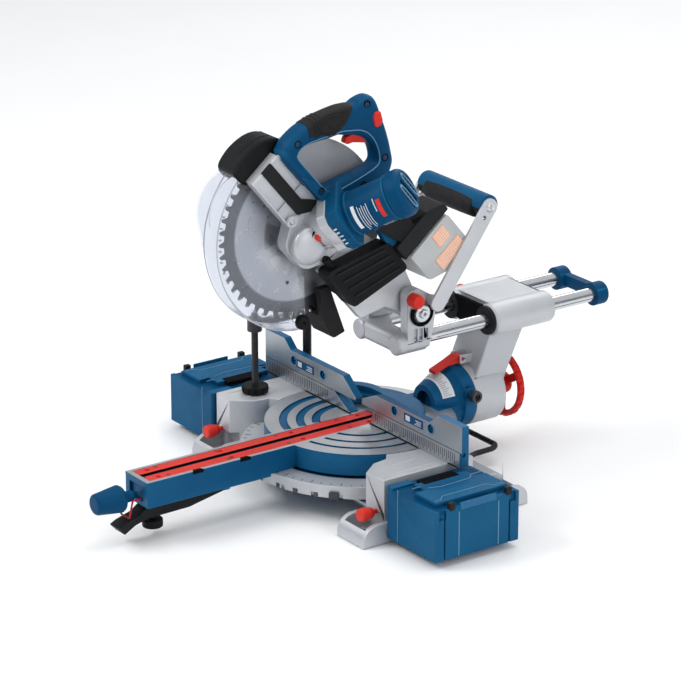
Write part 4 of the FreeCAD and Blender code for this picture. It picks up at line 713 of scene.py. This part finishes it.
def dress_motor():
    flange, collar = Shape(MOTOR), Shape(MOTOR)
    square = [(-36, -33), (-30, -39), (26, -39), (36, -30), (38, 20), (28, 35), (-24, 37), (-36, 27)]
    flange.prism(square, 60.5, 79)
    flange.piece("motor_flange", "head", "blue_plastic", "blue", 2.0, 3, 30)
    collar.prism([(x * 0.985, y * 0.985) for x, y in square], 46, 60.3)
    collar.piece("motor_mount_block", "head", "silver_casting", "silver", 1.6, 3, 30)
    ticks, bands, label, badge, stripe = (Shape(MOTOR) for _ in range(5))
    for n in range(5):
        ticks.box((37.1, -19 + 7.5 * n, 63), (38.4, -17.2 + 7.5 * n, 67.5 if n != 2 else 69))
    ticks.piece("motor_ticks", "head", "silver_casting", "white")
    bands.turned([(31.2, 84), (31.9, 84.6), (31.9, 86), (31.2, 86.6)], None, 72)
    bands.turned([(31.2, 143.6), (32.6, 144.2), (32.6, 146.6), (31.2, 147.2)], None, 72)
    bands.piece("motor_bands", "head", "blue_plastic", "blue")
    label.arc(*MOTOR_SKIN, 93, 98, -58, 8, 4)
    for n in range(5):
        low = 102 + 3.4 * n
        label.arc(*MOTOR_SKIN, low, low + 0.7, -52 + 5 * (n % 2), 26 - 9 * (n % 3), 4)
    label.arc(*MOTOR_SKIN, 127, 128, -56, -22, 4)
    label.piece("motor_label", "head", "silver_casting", "white")
    badge.arc(*MOTOR_SKIN, 120, 136, 32, 60, 4)
    badge.piece("motor_badge", "head", "silver_casting", "label_silver")
    stripe.arc(*MOTOR_SKIN, 131, 137, -50, 0, 4)
    stripe.piece("motor_stripe", "head", "silver_casting", "red", 0, 2, 50)
    rims, shade, bars = Shape(MOTOR), Shape(MOTOR), Shape(MOTOR)
    for centre in (-11.5, 11.5):
        oval = [(5.2 * soft(c, 0.6), 23 * soft(s, 0.8)) for c, s in circle(1, 36)]
        rims.loft([[(centre + x, y, 169.2), (centre + x, y, 171.6), (centre + x * 0.62, y * 0.86, 171.6),
                    (centre + x * 0.62, y * 0.86, 169.2)] for x, y in oval], closed=True)
        shade.prism([(centre + 3.3 * c, 19.8 * s) for c, s in circle(1, 28)], 168.6, 170.5)
        for y in range(-14, 15, 7):
            bars.box((centre - 3.4, y - 0.7, 169.6), (centre + 3.4, y + 0.7, 171.1))
    # The raised vent rims are coloured a lighter blue, a painted highlight on them.
    rims.piece("motor_vent_rims", "head", "blue_plastic", "blue_highlight", 0.5, 2, 40)
    shade.piece("motor_vent_shade", "head", "black_plastic", "hollow_shade")
    bars.piece("motor_vent_bars", "head", "blue_plastic", "blue", 0.3, 2, 40)
    tab, hole = Shape(HEAD), Shape(HEAD)
    tab.prism([(-172, 34), (-150, 72), (-126, 72), (-96, 54), (-104, 34), (-132, 26)], 46, 61, "x")
    tab.piece("motor_foot", "head", "blue_plastic", "blue", 1.6, 3, 30)
    hole.turned([(0, 60.4), (4.4, 60.4), (4.9, 61.3), (4.2, 61.6), (3.2, 60.9), (0, 60.8)],
                at(0, -133, 47, RIGHT), 28)
    # The dark dish is painted shade in the foot's screw hole.
    hole.piece("motor_foot_screw", "head", "black_steel", "hollow_shade")


def carve(shape, cutter, name):
    """One solid less another, worked out exactly; returns a new Shape."""
    pair = []
    for part, solid in (("whole", shape), ("cutter", cutter)):
        bmesh.ops.recalc_face_normals(solid.bm, faces=solid.bm.faces)
        mesh = bpy.data.meshes.new(f"{name}_{part}")
        solid.bm.to_mesh(mesh)
        solid.bm.free()
        pair.append(bpy.data.objects.new(f"{name}_{part}", mesh))
        bpy.context.scene.collection.objects.link(pair[-1])
    mod = pair[0].modifiers.new("cut", "BOOLEAN")
    mod.operation, mod.solver, mod.object = "DIFFERENCE", "EXACT", pair[1]
    graph = bpy.context.evaluated_depsgraph_get()
    result = bpy.data.meshes.new_from_object(pair[0].evaluated_get(graph))
    out = Shape()
    out.bm.from_mesh(result)
    for obj in pair:
        bpy.data.meshes.remove(obj.data)
    bpy.data.meshes.remove(result)
    return out


def dress_front_cover():
    whole, hollow, seam = Shape(HEAD), Shape(HEAD), Shape(HEAD)
    outline = smooth_loop([(-378, -60), (-383, -36), (-379, -10), (-368, 9), (-353, 17), (-340, 10),
                           (-338, -14), (-343, -40), (-350, -61), (-366, -64)])
    whole.prism(outline, -22, 22, "x")
    hollow.turned([(0, -17.4), (147, -17.4), (147, 17.4), (0, 17.4)], at(*SPINDLE, RIGHT), 120)
    carve(whole, hollow, "cover").piece("front_cover_cap", "head", "black_plastic", "black", 5.0, 4, 40,
                                        node="front_cover")
    clear_of_guard = [(y, z) for y, z in outline
                      if math.hypot(y - SPINDLE.y, z - SPINDLE.z) > 151 and z > -40]
    seam.tube([(9, y, z) for y, z in clear_of_guard], 0.8)
    seam.piece("front_cover_seam", "head", "black_plastic", "grip")


# ---- base, fence and table details

def dress_table_top():
    bow, ring, lips, slot_shade_strips, screws, notches, gap = (Shape() for _ in range(7))
    bow.arc(58, 92, 90.8, 105, 14, 166)
    bow.piece("fence_bow_back", "base", "blue_casting", "blue_cast", 2.5, 3, 40)
    ring.arc(139.5, 150.6, 53.4, 55.35, -160, -20)
    ring.piece("mitre_ring", "base", "silver_casting", "silver", 0.4, 2, 40)
    for side in (-1, 1):
        lips.box((side * 4.6, -366, 88.6), (side * 8, 25, 89.72))
        slot_shade_strips.box((side * 4.15, -366, 88.65), (side * 4.7, 25, 89.7))
        slot_shade_strips.box((side * 6.45, -366, 86.2), (side * 7.05, 25, 88.7))
        for y in (-335, -235, -135, -30):
            screws.turned([(0, 88.6), (2.9, 88.6), (2.9, 89.9), (1.6, 89.95), (1.2, 89.5), (0, 89.4)],
                          at(side * 16.5, y, 0), 20)
    lips.piece("insert_lips", "turntable", "red_plastic", "red", 0.15, 1, 40)
    # Dark strips lining the walls of the kerf slot: painted shade inside the slot.
    slot_shade_strips.piece("slot_shade", "turntable", "black_plastic", "hollow_shade", 0.05, 1, 40)
    screws.piece("insert_screws", "turntable", "black_steel", "steel_black")
    # The notches are filled with dark blocks, painted shade in them.
    for y in (-294, -216):
        notches.prism([(22.5, y - 6), (28.35, y - 9), (28.35, y + 9), (22.5, y + 6)], 85.5, 90.2)
    notches.piece("arm_notch_shade", "turntable", "black_plastic", "hollow_shade", 0.3, 1, 40)
    # Dark strips where the fence feet meet the table: painted shade in the gap.
    for start, end, front in ((-136, -23, -0.9), (23, 136, -0.9), (-236, -206, -0.8), (206, 230, -0.8)):
        gap.box((start, front, 90), (end, -0.02, 91.4))
    gap.piece("fence_foot_gap_shade", "base", "black_plastic", "hollow_shade", 0.2, 1, 40)


def dress_fence():
    ticks, seam = Shape(), Shape()
    for start, end in ((-234, -74), (36, 229)):
        for n in range(int((end - start) / FENCE_TICK_PITCH)):
            x = start + FENCE_TICK_PITCH * n
            low, high = (94.5, 109) if n % 2 else (98, 109)
            ticks.box((x - 0.55, -0.22, low), (x + 0.55, 0.2, high))
    ticks.piece("fence_scale", "base", "machined_plate", "ink")
    seam.box((-238.5, -0.25, 112.7), (-68, 0.3, 113.7))
    seam.box((25, -0.25, 112.7), (231.5, 0.3, 113.7))
    seam.piece("fence_seam", "base", "machined_plate", "ink")
    for side, places, label in (("left", (-166, -93), -137), ("right", (81, 166), 126)):
        body = f"fence_{side}"
        rims, cups, screws, plate, lines, mark = (Shape() for _ in range(6))
        for x in places:
            spot = at(x, 0, 128, (0, -1, 0))
            rims.turned([(6.4, -0.5), (8.6, -0.5), (8.6, 0.3), (8.0, 0.7), (6.9, 0.6), (6.4, 0.1)], spot, 36)
            cups.turned([(0, -4.9), (8.3, -4.9), (8.3, 0.12), (6.3, 0.25), (5.9, -3.6), (0, -3.9)], spot, 36)
            screws.screw(at(x, 3.9, 128, (0, -1, 0)), 4.3, 2.6)
        # The raised pocket rims are coloured a lighter blue, a painted highlight on them.
        rims.piece(f"fence_pocket_rims_{side}", body, "blue_plastic", "blue_highlight")
        cups.piece(f"fence_pockets_{side}", body, "blue_plastic", "blue")
        screws.piece(f"fence_screws_{side}", body, "bright_steel", "blue_cast")
        plate.box((label - 22, -0.5, 120.5), (label + 22, 0.3, 133))
        plate.piece(f"fence_label_{side}", body, "blue_plastic", "label", 0.25, 2, 40)
        for n, width in enumerate((15, 11, 13)):
            lines.box((label + 18 - width, -0.7, 123 + 2.8 * n), (label + 18, -0.4, 124.1 + 2.8 * n))
        lines.piece(f"fence_print_{side}", body, "blue_plastic", "white")
        mark.box((label - 18, -0.7, 123), (label - 8, -0.4, 130.6))
        mark.piece(f"fence_mark_{side}", body, "blue_plastic", "white", 0.25, 2, 40)


def raised_run(shape, sign, path, width=0.9):
    """A low ridge along a path on top of a side support."""
    for (x0, y0), (x1, y1) in zip(path, path[1:]):
        turned = Matrix.Rotation(math.atan2(y1 - y0, sign * (x1 - x0)), 4, "Z")
        shape.box((-width / 2, -width / 2, 89.4),
                  (math.hypot(x1 - x0, y1 - y0) + width / 2, width / 2, 90.7), at(sign * x0, y0, 0) @ turned)


def dress_supports():
    for side, sign in (("left", -1), ("right", 1)):
        body = f"side_support_{side}"
        steps, clips, plate, well, seams, ridges, cap = (Shape() for _ in range(7))
        for path in (((252, -95), (252, -82)),
                     ((262, -76), (268, -58), (266, -8), (256, 2), (256, 20)),
                     ((305, -97), (305, -87), (296, -78), (296, -4), (305, 3), (305, 20))):
            raised_run(steps, sign, path)
        # The raised steps are coloured a lighter blue, a painted highlight on them.
        steps.piece(f"support_steps_{side}", body, "blue_plastic", "blue_highlight", 0.35, 2, 40)
        for y in (-83, 13):
            clips.box((sign * 319, y - 4.6, 80.5), (sign * 327.2, y + 4.6, 91.6))
        clips.piece(f"support_clips_{side}", body, "black_plastic", "black", 1.2, 2, 40)
        plate.box((sign * 325, -70, 78.5), (sign * 327, -9, 89))
        plate.piece(f"support_plate_{side}", body, "blue_plastic", "rim_plate", 0.8, 2, 40)
        # A dark block in the recess on top of the support: painted shade in it.
        well.box((sign * 230, -72, 86), (sign * 249, -12, 90.35))
        well.piece(f"support_well_{side}", body, "black_plastic", "hollow_shade", 0.6, 2, 40)
        for y in (-71, -4):
            seams.box((sign * 325, y - 0.7, 12), (sign * 325.7, y + 0.7, 76))
        seams.box((sign * 240, -111.5, 12), (sign * 241, -110.6, 88))
        # The seam lines are a lighter blue, a painted highlight.
        seams.piece(f"support_seams_{side}", body, "blue_plastic", "blue_highlight", 0.2, 1, 40)
        for x, front, back in ((166, -92, -30), (192, -98, -8)):
            ridges.box((sign * x, front, 89.5), (sign * (x + 1.6), back, 90.8))
        ridges.piece(f"wing_ridges_{side}", "base", "silver_casting", "silver", 0.5, 2, 40)
        cap.turned([(0, 3), (8, 3), (9.6, 5), (9.6, 14), (8, 19), (4.6, 21), (0, 21.4)],
                   at(sign * 190, -142, 40, (0, 1, 0)), 28)
        cap.piece(f"support_lock_cap_{side}", f"support_lock_{side}", "red_plastic", "red")


def dress_turntable():
    scale, notches, stop, bolt = (Shape() for _ in range(4))
    for angle in range(-60, 61, 5):
        length = 9 if angle % 15 == 0 else 5
        scale.box((-0.45, -168, 55.0), (0.45, -168 + length, 55.7), turn(angle))
    scale.piece("mitre_scale_lines", "base", "silver_casting", "ink")
    for angle in (-34, -28, -22, -12, 0, 12, 22, 33):
        notches.box((-3.4, -171.6, 36.6), (3.4, -168, 43.5), turn(angle))
    notches.piece("mitre_scale_notches", "base", "black_plastic", "ink", 0.8, 2, 40)
    stop.box((-7, -176.5, 37), (7, -169, 47), turn(42))
    stop.piece("mitre_stop", "base", "black_steel", "steel_black", 1.2, 2, 40)
    bolt.turned([(0, 54), (8.5, 54), (9.2, 55), (9.2, 62), (8.4, 63), (5, 63), (4.4, 58.5), (0, 58)],
                at(0, 161, 106, RIGHT), 36)
    bolt.screw(at(58.2, 161, 106, RIGHT), 4.3, 2.4)
    bolt.piece("bevel_bolt", "turntable", "black_steel", "steel_black")


def cone_point(angle, y, lift):
    """A point above the cone of the bevel joint, which widens towards the back."""
    x, z = polar(26 + (44 - 26) * min(1, (y - 112) / 36) + lift, angle)
    return (x, y, 90 + z)


def wrap(shape, start, end, front, back, lift, rows=4, thick=1.2):
    """A plate wrapped on the cone, between two angles in degrees."""
    steps = max(2, int((end - start) / 4))
    layers = [[[cone_point(start + (end - start) * i / steps, front + (back - front) * k / rows, level)
                for k in range(rows + 1)] for i in range(steps + 1)] for level in (lift, lift - thick)]
    return shape.sheet(*layers)


def dress_bevel_scale():
    wrap(Shape(), 22, 118, 124, 140, 0.5).piece("bevel_scale", "turntable", "silver_casting", "white")
    marks = Shape()
    for n in range(19):
        start = 27 + 5 * n
        wrap(marks, start, start + 0.9, 126, 133 if n % 3 else 136, 0.75)
    marks.piece("bevel_scale_lines", "turntable", "silver_casting", "ink")


def dress_hinge():
    knob, grip, bearing_shade, barrels, arc, washer, grooves = (Shape() for _ in range(7))
    knob.turned([(0, 0), (8, 0), (10, 1.5), (10.4, 4), (10.4, 15), (9, 18.5), (5, 20), (0, 20.3)],
                at(55, 48, 276, RIGHT), 40)
    knob.piece("head_lock_knob", "head_lock", "red_plastic", "red", node="head_lock")
    grip.turned([(0, -55.6), (14.4, -55.6), (15.8, -52), (16.3, -30), (16.5, 0), (16.3, 30),
                 (15.8, 52), (14.4, 55.6), (0, 55.6)], at(0, 163, 390.5, RIGHT), 48)
    grip.piece("carry_grip_rubber", "carriage", "rubber", "grip", node="carry_grip_lower")
    # A dark plate in the gap between the bearing rings: painted shade, not a part.
    bearing_shade.prism([(-31.5, 231), (31.5, 231), (31.5, 199), (20, 195), (-20, 195), (-31.5, 199)],
              189.5, 195, "y")
    bearing_shade.piece("bearing_gap_shade", "bevel_arm", "black_plastic", "hollow_shade", 1.0, 2, 40)
    for side in (-1, 1):
        barrels.turned([(12, 194), (22, 194), (23.2, 195.5), (23.2, 297), (22, 299.5), (12, 299.5)],
                       Matrix.Translation((side * RAIL_X, 0, RAIL_Z)) @ turn(-90, "X"), 64)
        for angle in (-12, 24):
            x, z = polar(10.45, angle)
            grooves.tube([(side * RAIL_X + x, y, RAIL_Z + z) for y in (95, 380)], 0.55, steps=6)
        bolts = Shape()
        spot = at(side * 76.4, 168, 394, (side, 0, 0))
        bolts.turned([(3.6, -0.5), (7.4, -0.5), (7.4, 0.5), (6.6, 1.3), (5.2, 0.8), (3.6, 0.8)], spot, 32)
        bolts.screw(spot, 4.4, 1.4)
        bolts.piece("carry_arm_bolt_" + ("right" if side > 0 else "left"), "carriage", "bright_steel",
                    "steel")
    barrels.piece("rail_barrels", "bevel_arm", "silver_casting", "silver")
    grooves.piece("rail_grooves", "carriage", "chromed_rail", "rail_line")
    # A dark bar bent round the hinge, in painted shade.
    arc.tube([HINGE + Vector((58.4, *polar(17, a))) for a in range(150, 391, 12)], 2.6, steps=10)
    arc.piece("hinge_arc", "carriage", "black_plastic", "hollow_shade")
    washer.turned([(4, 58), (12.5, 58), (12.5, 60.6), (11.8, 61.2), (4, 61.2)], at(*HINGE, RIGHT), 40)
    washer.screw(at(60.5, HINGE.y, HINGE.z, RIGHT), 6.6, 4.6)
    washer.piece("hinge_screw", "carriage", "bright_steel", "steel", node="hinge_bolt")


def dress_battery():
    panels, weave = Shape(HEAD), Shape(HEAD)
    for (y0, z0), (y1, z1) in BATTERY_PANELS:
        panels.box((70.3, y0, z0), (71.6, y1, z1))
        for y in range(y0 + WEAVE_PITCH, y1, WEAVE_PITCH):
            weave.box((71.3, y - 0.4, z0 + 1), (71.95, y + 0.4, z1 - 1))
        for z in range(z0 + WEAVE_PITCH, z1, WEAVE_PITCH):
            weave.box((71.3, y0 + 1, z - 0.4), (71.95, y1 - 1, z + 0.4))
    panels.piece("battery_panels", "battery", "pale_pack", "pack_grid", 0.8, 2, 40)
    weave.piece("battery_weave", "battery", "pale_pack", "pack_line")


def dress_blade():
    tips, hole, rims = Shape(HEAD), Shape(HEAD), Shape()
    for n in range(TEETH):
        tips.box((-1.45, -1.0, 123.4), (1.45, 1.0, 126.8),
                 at(*SPINDLE) @ turn(360 * (n + 0.15) / TEETH, "X"))
    tips.piece("blade_tips", "blade", "bright_steel", "carbide")
    # A dark dot on the blade, painted shade in a small hole through it.
    hole.turned([(0, 1.0), (2.4, 1.0), (2.8, 1.4), (2.2, 1.7), (0, 1.4)], at(0, -174, -102, RIGHT), 20)
    hole.piece("blade_hole", "blade", "bright_steel", "hollow_shade")
    # Pale bars along the lower guard's curved edges are a painted highlight.
    for x in (-15.6, 15.6):
        rims.tube([HEAD @ (SPINDLE + Vector((x, *polar(140.4, a)))) for a in range(166, 316, 4)], 0.9)
    rims.piece("guard_edge_highlights", "lower_guard", "clear_guard", "guard_highlight")


make_stage()
dress_shells()
sculpt_handle()
sculpt_controls()
dress_gear_case()
dress_motor()
dress_front_cover()
dress_table_top()
dress_fence()
dress_supports()
dress_turntable()
dress_bevel_scale()
dress_hinge()
dress_battery()
dress_blade()
